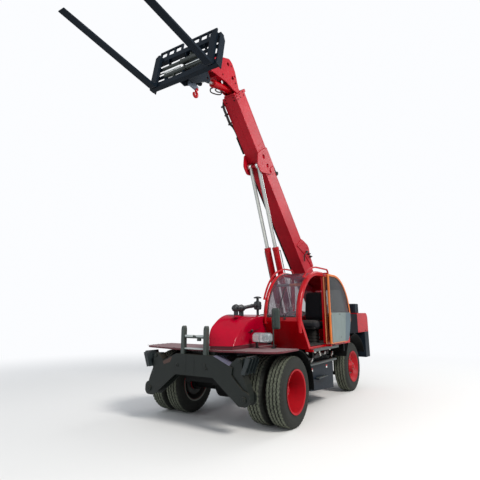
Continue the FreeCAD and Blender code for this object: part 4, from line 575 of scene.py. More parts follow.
def loop(centre, first, second, radius, sides=8, count=40):
    """A closed ring bar: the centre plus two half axes times the cosine and sine of the turn."""
    turn = (np.arange(count) / count * 2 * math.pi)[:, None, None]
    lean = (np.arange(sides) / sides * 2 * math.pi)[None, :, None]
    first, second = np.asarray(first, float), np.asarray(second, float)
    spot = np.cos(turn) * first + np.sin(turn) * second
    rise = unit(np.cross(first, second))
    points = np.asarray(centre) + spot + radius * (np.cos(lean) * unit(spot) + np.sin(lean) * rise)
    return points.reshape(-1, 3), net(count, sides, True, True)


latch_x, latch_z = 3.76, 1.598
solid("hood_latch", join(loop((latch_x, 0.43, latch_z - 0.012), (0.055, 0, -0.012), (0, 0.042, -0.004), 0.006),
                         turned([(0, 0.03), (0.010, 0.026), (0.012, 0.012)], (latch_x, 0.43, latch_z - 0.014),
                                (0.2, 0.1, 1), 24)), sky_tinted_hood_paint, "chassis")
black_rubber = paint("black_rubber", (19, 20, 21), rough=0.62, dusty=0.12, peel=0.4)
solid("hood_toggle", join(turned([(0, 0.014), (0.012, 0.011), (0.016, 0.02), (0.03, 0.023), (0.036, 0.017)],
                                 (3.561, 0.571, 1.36), (0, 1, 0.1), 20),
                          bar((3.548, 0.57, 1.325), (3.574, 0.582, 1.365), 0.005)), black_rubber, "chassis")
seam_x = np.linspace(3.65, 3.10, 12)
seam_line = np.stack([seam_x, hood_edge(seam_x) + 0.0005, 1.34 + 0.09 * (3.65 - seam_x)], -1)
solid("hood_seam", pipe(seam_line, 0.0035, 6, 3), frame_paint, "chassis")


# Air cleaner: a moulded canister with a dust bowl and clips on two feet, its ribbed duct and the capped
# pre-cleaner beside the cab.
cleaner_black = paint("cleaner_black", (24, 27, 31), rough=0.4, dusty=0.14, peel=0.2)
can = (3.51, 0.390, 1.712)
canister = [(-0.005, 0.03), (0, 0.044), (0.012, 0.05), (0.03, 0.052), (0.10, 0.052), (0.104, 0.055), (0.112, 0.055),
            (0.116, 0.052), (0.20, 0.052), (0.204, 0.059), (0.222, 0.059), (0.226, 0.053), (0.256, 0.051),
            (0.262, 0.04), (0.267, 0.038), (0.275, 0.03), (0.280, 0.008)]
feet = [bar((3.545, 0.352, 1.585), (3.585, 0.428, 1.668), 0.008), bar((3.70, 0.355, 1.565), (3.735, 0.425, 1.668), 0.008),
        loop((3.565, 0.39, 1.712), (0, 0.055, 0), (0, 0, 0.055), 0.006), loop((3.718, 0.39, 1.712), (0, 0.058, 0),
                                                                            (0, 0, 0.058), 0.006)]
clips = [bar((3.70, 0.384 + y, 1.700), (3.75, 0.396 + y, 1.724), 0.004) for y in (0.061, -0.061)]
duct = pipe([(3.515, 0.389, 1.718), (3.42, 0.388, 1.730), (3.30, 0.387, 1.745), (3.18, 0.386, 1.758), (3.05, 0.385, 1.765)],
            0.030, 20)
bands = [turned([(-0.007, 0.0305), (-0.004, 0.035), (0.004, 0.035), (0.007, 0.0305)], (x, 0.387, z), (1, 0, -0.12), 24, True)
         for x, z in ((3.47, 1.7225), (3.235, 1.7525), (3.16, 1.7595))]
bowl = [(1.592, 0.03), (1.60, 0.045), (1.606, 0.022), (1.69, 0.022), (1.694, 0.05), (1.70, 0.060), (1.72, 0.066),
        (1.745, 0.066), (1.75, 0.071), (1.765, 0.071), (1.77, 0.066), (1.80, 0.066), (1.824, 0.060), (1.834, 0.035),
        (1.845, 0.024), (1.885, 0.022), (1.892, 0.045), (1.886, 0.064), (1.892, 0.070), (1.904, 0.067), (1.918, 0.03),
        (1.921, 0.001)]
solid("air_filter", join(turned(canister, can, (1, 0, 0), 40), *feet, *clips, duct, *bands,
                         turned([(z - 1.6, radius) for z, radius in bowl], (3.03, 0.384, 1.6), (0, 0, 1), 40)),
      cleaner_black, "chassis", replaces=["air_cleaner"])


# Headlamp: a moulded housing on a black foot, with a bright curved reflector behind a clear lens.
lamp_black = paint("lamp_black", (20, 22, 23), rough=0.4, dusty=0.1)
lamp_chrome = paint("lamp_reflector", (222, 228, 226), rough=0.2, dusty=0.04, streak=0.0, peel=0.0, metal=0.4)
housing = slab(rounded(0.618, 1.190, 0.938, 1.336, 0.045, 6), 3.502, 3.604, "x", 0.022)
solid("headlamp_housing", join(bar((3.545, 0.655, 1.102), (3.60, 0.715, 1.112), 0.004),
                               bar((3.560, 0.668, 1.11), (3.59, 0.706, 1.198), 0.006),
                               nuts([(3.575, 0.687, 1.112), (3.552, 0.70, 1.112)], (0, 0, 1), 0.009, 0.007)),
      lamp_black, "chassis", replaces=["headlamp"])
lamp_shell = paint("lamp_shell", (136, 144, 146), rough=0.3, dusty=0.05, streak=0.0, metal=0.3)
solid("headlamp_shell", housing, lamp_shell, "chassis")
row, column = np.meshgrid(np.linspace(-1, 1, 25), np.linspace(-1, 1, 37), indexing="ij")


def lamp_face(front, bowl, wide, high, ribs):
    """A rounded field of the lamp: x falls back by a bowl of the middle distance, with upright ribs."""
    away = np.minimum(np.hypot(row, column * 0.9), 1)
    squared = 1 - 0.12 * (row * column) ** 2
    x = front - bowl * (1 - away ** 2) + ribs * np.cos(column * 22)
    face = np.stack([x, 0.778 + wide * column * squared, 1.263 + high * row * squared], -1)
    back = face - np.array([0.003, 0, 0])
    count = face.shape[0] * face.shape[1]
    front_faces = net(*face.shape[:2], False, False)
    edge = np.concatenate([np.arange(37), 37 * np.arange(1, 25) + 36, 24 * 37 + np.arange(35, -1, -1),
                           37 * np.arange(23, 0, -1)])
    skirt = np.stack([edge, np.roll(edge, -1), np.roll(edge, -1) + count, edge + count], -1)
    return np.vstack([face.reshape(-1, 3), back.reshape(-1, 3)]), [
        *map(tuple, front_faces), *map(tuple, front_faces[:, ::-1] + count), *map(tuple, skirt)]


solid("headlamp_reflector", join(lamp_face(3.611, 0.004, 0.146, 0.060, 0.0004),
                                 turned([(0, 0.05), (0.004, 0.044), (0.002, 0.02)], (3.608, 0.70, 1.263), (1, 0, 0))),
      lamp_chrome, "chassis")
solid("headlamp_rings", join(loop((3.6115, 0.865, 1.263), (0, 0.050, 0), (0, 0, 0.048), 0.006),
                             loop((3.6115, 0.865, 1.263), (0, 0.024, 0), (0, 0, 0.022), 0.006),
                             bar((3.607, 0.752, 1.205), (3.6145, 0.760, 1.322), 0.002, "x")), lamp_shell, "chassis")


def pane(name, glass_colour, alpha, rough=0.03):
    """Clear sheet: a coloured, smooth surface that lets most light through; the purple-grey of the cab windows is a
    painted reflection.
    """
    glass = bpy.data.materials.new(name)
    glass.use_nodes = True
    tree = glass.node_tree
    shader = tree.nodes["Principled BSDF"]
    shader.inputs["Alpha"].default_value = alpha
    noise = tree.nodes.new("ShaderNodeTexNoise")
    noise.inputs["Scale"].default_value = 9.0
    tree.links.new(tree.nodes.new("ShaderNodeTexCoord").outputs["Object"], noise.inputs["Vector"])
    film = tree.nodes.new("ShaderNodeMapRange")
    film.inputs["To Min"].default_value = rough
    film.inputs["To Max"].default_value = rough + 0.12
    tree.links.new(noise.outputs["Fac"], film.inputs["Value"])
    tree.links.new(film.outputs["Result"], shader.inputs["Roughness"])
    tone = tree.nodes.new("ShaderNodeMix")
    tone.data_type = "RGBA"
    tree.links.new(noise.outputs["Fac"], tone.inputs["Factor"])
    tone.inputs[6].default_value = (*glass_colour, 1)
    tone.inputs[7].default_value = (*[min(1, c * 1.3 + 0.01) for c in glass_colour], 1)
    tree.links.new(tone.outputs[2], shader.inputs["Base Color"])
    return glass


lens_glass = pane("lamp_lens", linear(210, 222, 222), 0.12)
solid("headlamp_lens", slab(rounded(0.626, 1.198, 0.930, 1.328, 0.04, 6), 3.6125, 3.6165, "x", 0.0015), lens_glass,
      "chassis")


# Mirror: a rounded grey-green housing with its glass facing back, clamped to an upright rod on the deck.
mirror_green = paint("mirror_housing", (36, 48, 42), rough=0.45, dusty=0.1)
rings = []
for offset, inset in ((0.0, 0.004), (0.003, 0.0), (0.014, 0.001), (0.024, 0.008), (0.032, 0.022), (0.035, 0.045)):
    flat = rounded(0.906 + inset, 1.388 + inset, 1.049 - inset, 1.711 - inset, 0.03, 5)
    rings.append(np.stack([np.full(len(flat), 3.468 + offset), flat[:, 0], flat[:, 1]], -1))
stalk = pipe([(3.490, 0.935, 1.102), (3.490, 0.935, 1.3), (3.490, 0.935, 1.5), (3.488, 0.938, 1.66)], 0.0095, 12, 3)
solid("mirror_head", join(carried(rings), stalk, bar((3.470, 0.915, 1.52), (3.508, 0.955, 1.56), 0.006),
                          bar((3.46, 0.905, 1.102), (3.52, 0.965, 1.112), 0.004),
                          nuts([(3.473, 0.918, 1.112), (3.507, 0.952, 1.112)], (0, 0, 1), 0.007, 0.006)),
      mirror_green, "chassis", replaces=["mirror"])
mirror_glass = paint("mirror_glass", (170, 180, 186), rough=0.06, dusty=0.02, streak=0, peel=0, metal=1.0)
solid("mirror_pane", slab(rounded(0.914, 1.396, 1.041, 1.703, 0.024, 5), 3.4655, 3.4682, "x", 0.0008), mirror_glass,
      "chassis")


# Cab: a welded frame of bent tubes and plate under gloss red, curved glass in black rubber whose purple-grey is a
# painted reflection, a visor, a wiper, and bent rails over the roof.
red_paint = paint("red_coat", (166, 0, 12), rough=0.22, dusty=0.0, streak=0.05, shine=0.28)
coat_nodes(red_paint, "cab_shell", "cab_rails")
# The purple-grey of the cab glass is a painted reflection.
window_glass = pane("window_glass", linear(84, 66, 78), 0.34)
coat_nodes(window_glass, "cab_glass")


def cab_arc(radius, start, end, y, steps=24):
    """Points on the cab's front curve: its middle plus a radius at angles above the horizontal."""
    angle = np.radians(np.linspace(start, end, steps))
    return np.stack([2.150 + radius * np.cos(angle), np.full(steps, y), 1.505 + radius * np.sin(angle)], -1)


def frame_tube(path, radius, sides=16):
    """A tube along given points, with no extra ones between them."""
    angle = np.arange(sides) / sides * 2 * math.pi
    return carry(path, radius * np.stack([np.cos(angle), np.sin(angle)], -1))


hoops = []
for y, low, far in ((1.150, -12.5, 1.955), (0.520, -3, 2.03)):
    top = np.stack([np.linspace(2.10, far, 4), np.full(4, y), np.full(4, 2.353)], -1)
    hoops.append(frame_tube(np.vstack([cab_arc(0.848, low, 90, y, 40), top]), 0.034))
solid("cab_hoops", join(*hoops), red_paint, "chassis")
seals = []
for y in (0.563, 1.107):
    seals.append(frame_tube(np.vstack([cab_arc(0.858, 4.6, 90, y, 32),
                                       np.array([(2.09, y, 2.363), (2.04, y, 2.363)])]), 0.010, 10))
seals += [frame_tube([(x, y, z) for y in np.linspace(0.56, 1.11, 6)], 0.011, 10)
          for x, z in ((3.006, 1.572), (2.036, 2.363))]
solid("screen_seal", join(*seals), black_rubber, "chassis")
wiper = [pipe([(3.02, 0.90, 1.545), (3.035, 0.885, 1.60), (3.028, 0.86, 1.70), (3.005, 0.83, 1.80)], 0.006, 8),
         pipe([(3.017, 0.80, 1.66), (3.010, 0.83, 1.80), (2.975, 0.86, 1.95), (2.93, 0.885, 2.07)], 0.008, 8),
         turned([(0, 0.02), (0.02, 0.018), (0.026, 0.01)], (3.012, 0.90, 1.545), (1, 0, 0), 20)]
solid("wiper", join(*wiper), black_rubber, "chassis")
orange_paint = paint("orange_coat", (206, 108, 40), rough=0.4, dusty=0.08, specks=0.1)
grey_panel = paint("grey_coat", (108, 120, 118), rough=0.45, dusty=0.12)
solid("visor_bar", frame_tube([(2.70, y, 2.115) for y in np.linspace(0.60, 0.86, 4)], 0.024, 14), grey_panel, "chassis")
solid("visor_end", frame_tube([(2.70, y, 2.115) for y in np.linspace(0.862, 1.10, 4)], 0.0245, 14), orange_paint,
      "chassis")
cream = paint("cream_seal", (188, 116, 70), rough=0.5, dusty=0.1)
solid("post_edge", join(bar((1.936, 1.178, 1.085), (1.950, 1.196, 2.30), 0.004),
                        bar((1.852, 1.178, 1.085), (1.862, 1.190, 2.32), 0.004)), cream, "chassis")
solid("side_seals", join(frame_tube(smooth([(1.84, 1.176, 1.60), (1.84, 1.176, 1.9), (1.84, 1.176, 2.27)], 3), 0.009, 8),
                         frame_tube(smooth([(0.70, 1.176, 1.575), (1.2, 1.176, 1.575), (1.84, 1.176, 1.575)], 3), 0.009,
                                    8)), black_rubber, "chassis")
sill_grey = paint("sill_plate", (72, 80, 80), rough=0.4, dusty=0.15, metal=0.3)
solid("sill_strip", join(bar((1.50, 1.181, 1.0415), (2.66, 1.243, 1.0465), 0.002),
                         bar((1.50, 1.240, 1.005), (2.66, 1.2455, 1.0465), 0.002, "x")), sill_grey, "chassis")


# Seat: crowned, sewn cushions in dark cloth over a steel pan, on a suspension in a folded rubber bellows.
def swollen(shape, cell, most):
    """Air pressure on cloth: the form is remeshed to even cells, swells for twenty frames, and each point goes
    its own way scaled down so that it is no longer than the most allowed."""
    points, faces = shape
    mesh = bpy.data.meshes.new("cushion_form")
    mesh.from_pydata(np.asarray(points).tolist(), [], [list(face) for face in faces])
    form = bpy.data.objects.new("cushion_form", mesh)
    bpy.context.collection.objects.link(form)
    cells = form.modifiers.new("cells", "REMESH")
    cells.mode = "VOXEL"
    cells.voxel_size = cell
    even = bpy.data.meshes.new_from_object(form.evaluated_get(bpy.context.evaluated_depsgraph_get()))
    form.modifiers.clear()
    form.data = even
    cloth = form.modifiers.new("cloth", "CLOTH")
    cloth.settings.use_pressure = True
    cloth.settings.uniform_pressure_force = 4
    cloth.settings.effector_weights.gravity = 0
    for frame_number in range(1, 21):
        bpy.context.scene.frame_set(frame_number)
    start = np.array([point.co for point in even.vertices])
    full = np.array([point.co for point in form.evaluated_get(bpy.context.evaluated_depsgraph_get()).data.vertices])
    faces = [tuple(face.vertices) for face in even.polygons]
    bpy.data.objects.remove(form)
    bpy.context.scene.frame_set(1)
    way = full - start
    length = np.linalg.norm(way, axis=1, keepdims=True)
    return start + way * np.minimum(1, most / np.maximum(length, 1e-9)), faces


def cushion(centre, half, lean, channels):
    """A superellipsoid of cosine and sine powers of two angles, swollen as padded cloth, with sewn channels
    pressed in across its top as bell curves, then leaned about Y."""
    rise, turn = np.meshgrid(np.linspace(-90, 90, 41), np.linspace(0, 360, 73)[:-1], indexing="ij")
    rise, turn = np.radians(rise), np.radians(turn)

    def power(value, share):
        return np.sign(value) * np.abs(value) ** share

    x = half[0] * power(np.cos(rise), 0.35) * power(np.cos(turn), 0.3)
    y = half[1] * power(np.cos(rise), 0.35) * power(np.sin(turn), 0.3)
    z = half[2] * (power(np.sin(rise), 0.6) * (1 + 0.22 * np.cos(x / half[0] * 1.5) * np.cos(y / half[1] * 1.5)) - 0.1)
    (x, y, z), faces = (lambda shape: (shape[0].T, shape[1]))(swollen(carried(np.stack([x, y, z], -1)), 0.008, 0.012))
    for groove in channels:
        z = z - 0.012 * np.exp(-((y - groove) / 0.011) ** 2) * np.clip(z / 0.02, 0, 1)
    cos, sin = math.cos(math.radians(lean)), math.sin(math.radians(lean))
    return np.stack([centre[0] + x * cos - z * sin, centre[1] + y, centre[2] + x * sin + z * cos], -1), faces


seat_cloth = paint("seat_cloth", (30, 31, 35), rough=0.85, dusty=0.12, streak=0.1, peel=0.9, shine=0.2)
folds = [(1.0915 + 0.0129 * i, 0.0 if i % 2 else 0.016) for i in range(21)]
bellows = [np.stack([*rounded(1.70 + pull, 0.71 + pull, 1.97 - pull, 0.97 - pull, 0.03).T, np.full(20, z)], -1)
           for z, pull in folds]
solid("seat_frame", join(carried(bellows), bar((1.62, 0.66, 1.350), (2.06, 1.02, 1.378), 0.01),
                         bar((1.60, 0.74, 1.36), (1.64, 0.94, 1.62), 0.01)), black_rubber, "chassis", replaces=["seat"])
seat_pad = solid("seat_cushion", cushion((1.845, 0.84, 1.425), (0.245, 0.225, 0.062), 2, (-0.12, 0.12)), seat_cloth,
                 "chassis")
back_pad = solid("seat_back", cushion((1.555, 0.84, 1.765), (0.285, 0.22, 0.058), 99, (-0.12, 0.12)), seat_cloth,
                 "chassis")
coat_nodes(cleaner_black, "cab_controls", "steering_wheel")
levers = [pipe([(2.18 - 0.05 * i, 0.575, 1.60), (2.185 - 0.05 * i, 0.577, 1.66), (2.20 - 0.05 * i, 0.58, 1.70)], 0.007, 8)
          for i in range(3)]
knobs = [turned([(-0.02, 0.008), (-0.012, 0.019), (0.008, 0.022), (0.022, 0.012), (0.025, 0.002)],
                (2.203 - 0.05 * i, 0.58, 1.715), (0, 0, 1), 20) for i in range(3)]
pedals = [bar((2.60, y - 0.035, 1.13), (2.615, y + 0.035, 1.21), 0.006, "x") for y in (0.72, 0.95)]
solid("levers_and_pedals", join(*levers, *knobs, *pedals), lamp_black, "chassis")
solid("floor_mat", bar((1.20, 0.54, 1.0908), (2.60, 1.165, 1.0965), 0.01), black_rubber, "chassis")


# Door: folded back on its hinges; a flat tube frame in orange, tinted glass in rubber, and a grey sheet with
# a flanged rear edge over the lower half.
door_in, door_out = 1.2585, 1.2935
arc = np.radians(np.linspace(90, 180, 30))
hoop = np.vstack([np.array([(1.9385, z) for z in (1.092, 1.5, 1.9, 2.25, 2.318)]), [(1.930, 2.329), (1.90, 2.3295)],
                  [(1.80, 2.3295)], np.stack([1.665 + 0.824 * np.cos(arc), 1.505 + 0.824 * np.sin(arc)], -1),
                  [(0.95, 1.33)], [(1.13, 1.10)]])
middle = (door_in + door_out) / 2
solid("door_hoop", join(carry(np.stack([hoop[:, 0], np.full(len(hoop), middle), hoop[:, 1]], -1),
                              rounded(-0.0205, -0.0175, 0.0205, 0.0175, 0.009, 4)),
                        bar((1.12, door_in, 1.0905), (1.94, door_out, 1.112), 0.006, "x"),
                        bar((0.86, door_in, 1.60), (1.93, door_out, 1.64), 0.008, "x"),
                        *[turned([(0, 0.0095), (0, 0.0155), (0.06, 0.0155), (0.06, 0.0095)], (1.915, 1.25, z), (0, 0, 1),
                                 24, True) for z in (1.0905, 2.2895)]),
      orange_paint, "cab_door", replaces=["door_frame"])
sheet_line = [(1.905, 1.108), (1.24, 1.108), (1.12, 1.642), (1.905, 1.642)]
solid("door_sheet", join(slab(sheet_line, door_in + 0.002, door_out + 0.0045, "y", 0.002),
                         turned([(0, 0.017), (0.004, 0.017), (0.006, 0.013)], (1.30, 1.2975, 1.58), (0, 1, 0), 16)),
      grey_panel, "cab_door", replaces=["door_panel"])
blue_steel = paint("door_flange", (84, 100, 108), rough=0.32, dusty=0.1, metal=0.2)
flange = [(1.238, 1.104), (1.115, 1.104), (1.02, 1.155), (0.866, 1.49), (0.862, 1.642), (1.118, 1.642)]
solid("door_flange", join(slab(flange, door_in + 0.002, door_out + 0.0045, "y", 0.002),
                          frame_tube(smooth([(1.10, 1.297, 1.115), (1.02, 1.297, 1.16), (0.875, 1.297, 1.49),
                                             (0.87, 1.297, 1.63)], 6), 0.006, 8)), blue_steel, "cab_door")
pane_arc = np.radians(np.linspace(92, 176, 24))
pane_line = np.vstack([[(0.868, 1.642), (1.916, 1.642), (1.916, 2.308)],
                       np.stack([1.665 + 0.801 * np.cos(pane_arc), 1.505 + 0.801 * np.sin(pane_arc)], -1)])
door_glass = pane("door_glass_pane", linear(34, 36, 32), 0.58)
solid("door_pane", slab(pane_line, middle - 0.003, middle + 0.003, "y", 0.001), door_glass, "cab_door",
      replaces=["door_glass"])
around = np.vstack([pane_line, pane_line[:1]]) * 0.985 + np.array([1.4, 1.9]) * 0.015
solid("door_seal", frame_tube(np.stack([around[:, 0], np.full(len(around), middle), around[:, 1]], -1), 0.010, 8),
      black_rubber, "cab_door")
solid("door_lock", join(bar((1.445, 1.2965, 1.604), (1.515, 1.3, 1.622), 0.002, "y"),
                        turned([(0, 0.012), (0.002, 0.012)], (1.457, 1.2975, 1.19), (0, 1, 0), 20),
                        bar((0.842, 1.262, 1.572), (0.872, 1.298, 1.615), 0.006)), lamp_black, "cab_door")


# Left flank: a stepped steel box with a bright ledge and a tread, reflectors on its face, and hoses with
# plated fittings in the gap under the cab. Right flank: two tanks with filler caps and straps.
slate_paint = paint("slate_coat", (20, 29, 38), rough=0.45, dusty=0.0, shine=0.12)
coat_nodes(slate_paint, "belly_box", "ballast", "hydraulic_tank", "fuel_tank")
coat_nodes(frame_paint, "valve_block")
solid("belly_ledge", join(bar((1.142, 0.965, 0.7655), (2.438, 1.052, 0.7755), 0.004, "x"),
                          pipe([(1.142, 1.046, 0.755), (1.8, 1.046, 0.755), (2.438, 1.046, 0.755)], 0.016, 12, 2),
                          bar((1.642, 0.985, 0.5003), (2.048, 1.064, 0.508), 0.003, "x"),
                          *[bar((1.66 + 0.055 * i, 0.99, 0.507), (1.675 + 0.055 * i, 1.058, 0.5125), 0.002)
                            for i in range(7)]), sill_grey, "chassis")
reflect_red = paint("reflector_red", (196, 20, 26), rough=0.2, dusty=0.05, streak=0, peel=0)
reflect_white = paint("reflector_white", (226, 228, 224), rough=0.25, dusty=0.05, streak=0, peel=0)
for x in (2.18, 1.50):
    solid(f"reflector_red_{int(x * 100)}", bar((x - 0.028, 0.9805, 0.655), (x + 0.028, 0.985, 0.680), 0.002, "y"),
          reflect_red, "chassis")
    solid(f"reflector_white_{int(x * 100)}", bar((x - 0.030, 0.9805, 0.625), (x + 0.022, 0.985, 0.654), 0.002, "y"),
          reflect_white, "chassis")
hose_black = paint("hose_rubber", (16, 17, 18), rough=0.5, dusty=0.1, peel=0.3)
runs = [pipe([(2.62, 0.94 + 0.03 * i, 0.98), (2.35, 1.0 + 0.01 * i, 0.90 - 0.02 * i), (2.0, 1.02, 0.86 + 0.02 * i),
              (1.6, 0.98 + 0.01 * i, 0.89), (1.25, 0.93, 0.93 - 0.02 * i)], 0.013, 10) for i in range(4)]
runs += [pipe([(x, 0.905, 0.90), (x + 0.02, 0.96, 0.91), (x + 0.05, 0.985, 0.86), (x + 0.06, 0.96, 0.80)], 0.010, 8)
         for x in (1.45, 1.62, 1.80, 1.98, 2.14)]
solid("flank_hoses", join(*runs), hose_black, "chassis")
fittings = [turned([(0, 0.012), (0.02, 0.012), (0.022, 0.017), (0.04, 0.017), (0.044, 0.011), (0.06, 0.010)],
                   (x, 0.902, 0.90), (0.2, 1, 0.1), 6) for x in (1.45, 1.62, 1.80, 1.98, 2.14)]
fittings += [turned([(0, 0.016), (0.04, 0.016), (0.044, 0.023), (0.06, 0.023), (0.065, 0.016), (0.11, 0.014)],
                    (x, 1.035, z), (1, 0.1, slope), 8)
             for x, z, slope in ((2.44, 0.945, 0.4), (2.26, 0.86, -0.6), (2.12, 0.95, 0.2), (1.90, 0.88, 1.2),
                                 (1.66, 0.93, -0.4), (1.42, 0.95, 0.8), (1.30, 0.90, -0.9))]
bright = paint("plated_fitting", (206, 206, 200), rough=0.28, dusty=0.08, metal=0.85)
solid("flank_fittings", join(*fittings), bright, "chassis")
solid("tank_caps", join(*[turned([(0, 0.05), (0.02, 0.05), (0.026, 0.044), (0.045, 0.042), (0.05, 0.03), (0.052, 0.004)],
                                 (x, -0.78, top), (0, 0, 1), 24) for x, top in ((1.05, 1.25), (1.75, 1.05))],
                        *[bar((x, -1.0435, 0.42), (x + 0.03, -1.0395, 0.98), 0.002, "z")
                          for x in (1.72, 2.30)]), cleaner_black, "chassis")


# Rear: folded sheet covers with louvres and hinges, dark battery boxes, a cast counterweight with lamps and
# a tow jaw, and a small locker with an upright beside it.
coat_nodes(red_paint, "rear_covers", "boom_tower")
box_black = paint("box_coat", (6, 6, 14), rough=0.5, dusty=0.0, shine=0.06)
coat_nodes(box_black, "side_boxes")
coat_nodes(slate_paint, "rear_locker")
trims = []
for side in (1, -1):
    near, far = side * 1.1005, side * 1.1075
    low_y, high_y = min(near, far), max(near, far)
    trims += [bar((x, low_y, 1.225), (x + 0.05, high_y, 1.24), 0.003, "y") for x in (-0.80, -0.30, 0.15)]
solid("cover_hinges", join(*trims), box_black, "chassis")
grille = [bar((-0.9875, side * 0.675 - 0.22, z), (-0.9805, side * 0.675 + 0.22, z + 0.016), 0.003, "x")
          for z in np.linspace(1.27, 1.44, 7) for side in (1, -1)]
solid("rear_grille", join(*grille), box_black, "chassis")
solid("tail_lamps", join(*[bar((-0.992, side * 0.98 - 0.05, 1.06), (-0.9805, side * 0.98 + 0.05, 1.15), 0.008, "x")
                           for side in (1, -1)]), reflect_red, "chassis")
solid("tail_lamp_whites", join(*[bar((-0.991, side * 0.86 - 0.04, 1.07), (-0.9805, side * 0.86 + 0.04, 1.14), 0.008, "x")
                                 for side in (1, -1)]), reflect_white, "chassis")
solid("tow_jaw", join(bar((-0.998, -0.09, 0.80), (-0.9805, 0.09, 0.98), 0.01, "x"),
                      bar((-1.03, -0.07, 0.915), (-0.99, 0.07, 0.94), 0.008),
                      bar((-1.03, -0.07, 0.84), (-0.99, 0.07, 0.865), 0.008),
                      turned([(-0.07, 0.012), (0.07, 0.012), (0.075, 0.02), (0.085, 0.018)], (-1.018, 0, 0.89), (0, 0, 1)),
                      nuts([(-0.998, y, z) for y in (-0.07, 0.07) for z in (0.82, 0.96)], (-1, 0, 0), 0.011, 0.009)),
      arch_paint, "chassis")
solid("locker_post", join(pipe([(-0.66, 0.88, 1.634), (-0.66, 0.88, 1.74), (-0.66, 0.88, 1.83)], 0.010, 10, 2),
                          bar((-0.945, 0.705, 1.8455), (-0.705, 0.895, 1.852), 0.003),
                          bar((-0.86, 0.9005, 1.73), (-0.79, 0.906, 1.75), 0.002, "y")), slate_paint, "chassis")
solid("tower_pin_caps", join(*[turned([(0, 0.062), (0.014, 0.062), (0.02, 0.055), (0.02, 0.012)],
                                      (-0.554, side * 0.2205, 1.752), (0, side, 0)) for side in (1, -1)],
                             nuts([(-0.554 + 0.036 * a, side * 0.2405, 1.752 + 0.036 * b) for side in (1, -1)
                                   for a, b in ((1, 0), (-1, 0), (0, 1), (0, -1))], (0, 1, 0), 0.007, 0.005, False)),
      arch_paint, "chassis")


# Boom: three box sections of welded plate, with bolted wear pads, weld seams, a hose bundle in clamps along
# its right side, a valve bracket near its foot and a work lamp on top.
def pitched(x, z, turn):
    """The place of a frame whose X axis rises by an angle from a point of the machine."""
    return Matrix.Translation((x - axle, 0, z)) @ Matrix.Rotation(-math.radians(turn), 4, "Y")


boom_place = pitched(-0.554, 1.752, 47.25)
boom_paint = paint("boom_coat", (160, 2, 24), rough=0.42, dusty=0.0, streak=0.05, shine=0.22)
coat_nodes(boom_paint, "outer_boom", "middle_boom", "inner_boom")
# The hose tray is near black as painted shade: its face under the boom's right edge lies in shade.
coat_nodes(frame_paint, "hose_tray")
pads = [(x, side * 0.1525, z) for x in (5.505, 5.57) for z in (-0.14, -0.02, 0.13) for side in (1, -1)]
solid("pad_bolts", join(nuts([p for p in pads if p[1] > 0], (0, 1, 0), 0.010, 0.008),
                        nuts([p for p in pads if p[1] < 0], (0, -1, 0), 0.010, 0.008),
                        nuts([(x, y, -0.2005) for x in (5.51, 5.57) for y in (-0.09, 0.09)], (0, 0, -1), 0.010, 0.008)),
      frame_paint, "boom", boom_place)
seams = [pipe([(x, 0.1518, z), (x + 0.9, 0.1518, z), (x + 1.8, 0.1518, z)], 0.0028, 6, 2)
         for x, z in ((-0.1, 0.198), (1.9, 0.198), (3.75, 0.198), (-0.1, -0.193), (1.9, -0.193), (3.75, -0.193))]
seams += [pipe([(4.47, -0.151, -0.2008), (4.47, 0, -0.2008), (4.47, 0.151, -0.2008)], 0.004, 6, 2),
          pipe([(4.47, 0.1518, -0.2), (4.47, 0.1518, 0), (4.47, 0.1518, 0.2)], 0.003, 6, 2),
          bar((4.46, -0.003, -0.2035), (5.45, 0.003, -0.1995), 0.001, "x")]
ribs = [slab([(4.335, -0.20), (4.18, -0.20), (4.20, -0.33), (4.27, -0.33)], y - 0.009, y + 0.009, "y", 0.002)
        for y in (-0.02, 0.06)]
solid("boom_seams", join(*seams), boom_paint, "boom", boom_place)
bracket = [(1.98, -0.10), (1.95, 0.20), (1.90, 0.245), (1.66, 0.385), (1.55, 0.395), (1.36, 0.31), (1.12, 0.285),
           (1.08, 0.21), (1.30, 0.16), (1.58, 0.09)]
solid("boom_bracket", join(slab(bracket, 0.1525, 0.166, "y", 0.003),
                           bar((1.42, 0.02, 0.206), (1.62, 0.152, 0.30), 0.012),
                           bar((1.15, 0.04, 0.206), (1.33, 0.152, 0.272), 0.012),
                           nuts([(x, 0.166, z) for x, z in ((1.90, 0.02), (1.86, 0.16), (1.62, 0.30), (1.25, 0.23))],
                                (0, 1, 0), 0.013, 0.010)), boom_paint, "boom", boom_place)
solid("bracket_couplings", join(*[turned([(0, 0.020), (0.02, 0.020), (0.022, 0.028), (0.045, 0.028), (0.05, 0.016),
                                          (0.075, 0.015)], (x, 0.166, z), (0, 1, 0.1), 6)
                                  for x, z in ((1.60, 0.17), (1.50, 0.22), (1.40, 0.25))],
                                pipe([(1.60, 0.225, 0.175), (1.64, 0.24, 0.12), (1.62, 0.20, 0.0), (1.50, 0.175, -0.06)],
                                     0.012, 10)), hose_black, "boom", boom_place)
bundle = [pipe([(4.40, -0.166, -0.10 + 0.02 * i), (4.52, -0.172, -0.215 + 0.026 * i), (4.62, -0.174, -0.175 + 0.022 * i),
                (4.74, -0.175, -0.170 + 0.022 * i), (4.90, -0.175, -0.170 + 0.022 * i), (5.02, -0.175, -0.20 + 0.022 * i),
                (5.12, -0.175, -0.262 + 0.026 * i), (5.30, -0.175, -0.262 + 0.026 * i),
                (5.46, -0.174, -0.25 + 0.026 * i), (5.58, -0.168, -0.14 + 0.02 * i)], 0.0115, 10) for i in range(3)]
clamps = [bar((x, -0.198, -0.285), (x + 0.035, -0.1515, -0.17), 0.008, "x") for x in (5.09, 5.28, 5.46)]
solid("boom_hoses", join(*bundle, *clamps), hose_black, "boom", boom_place)
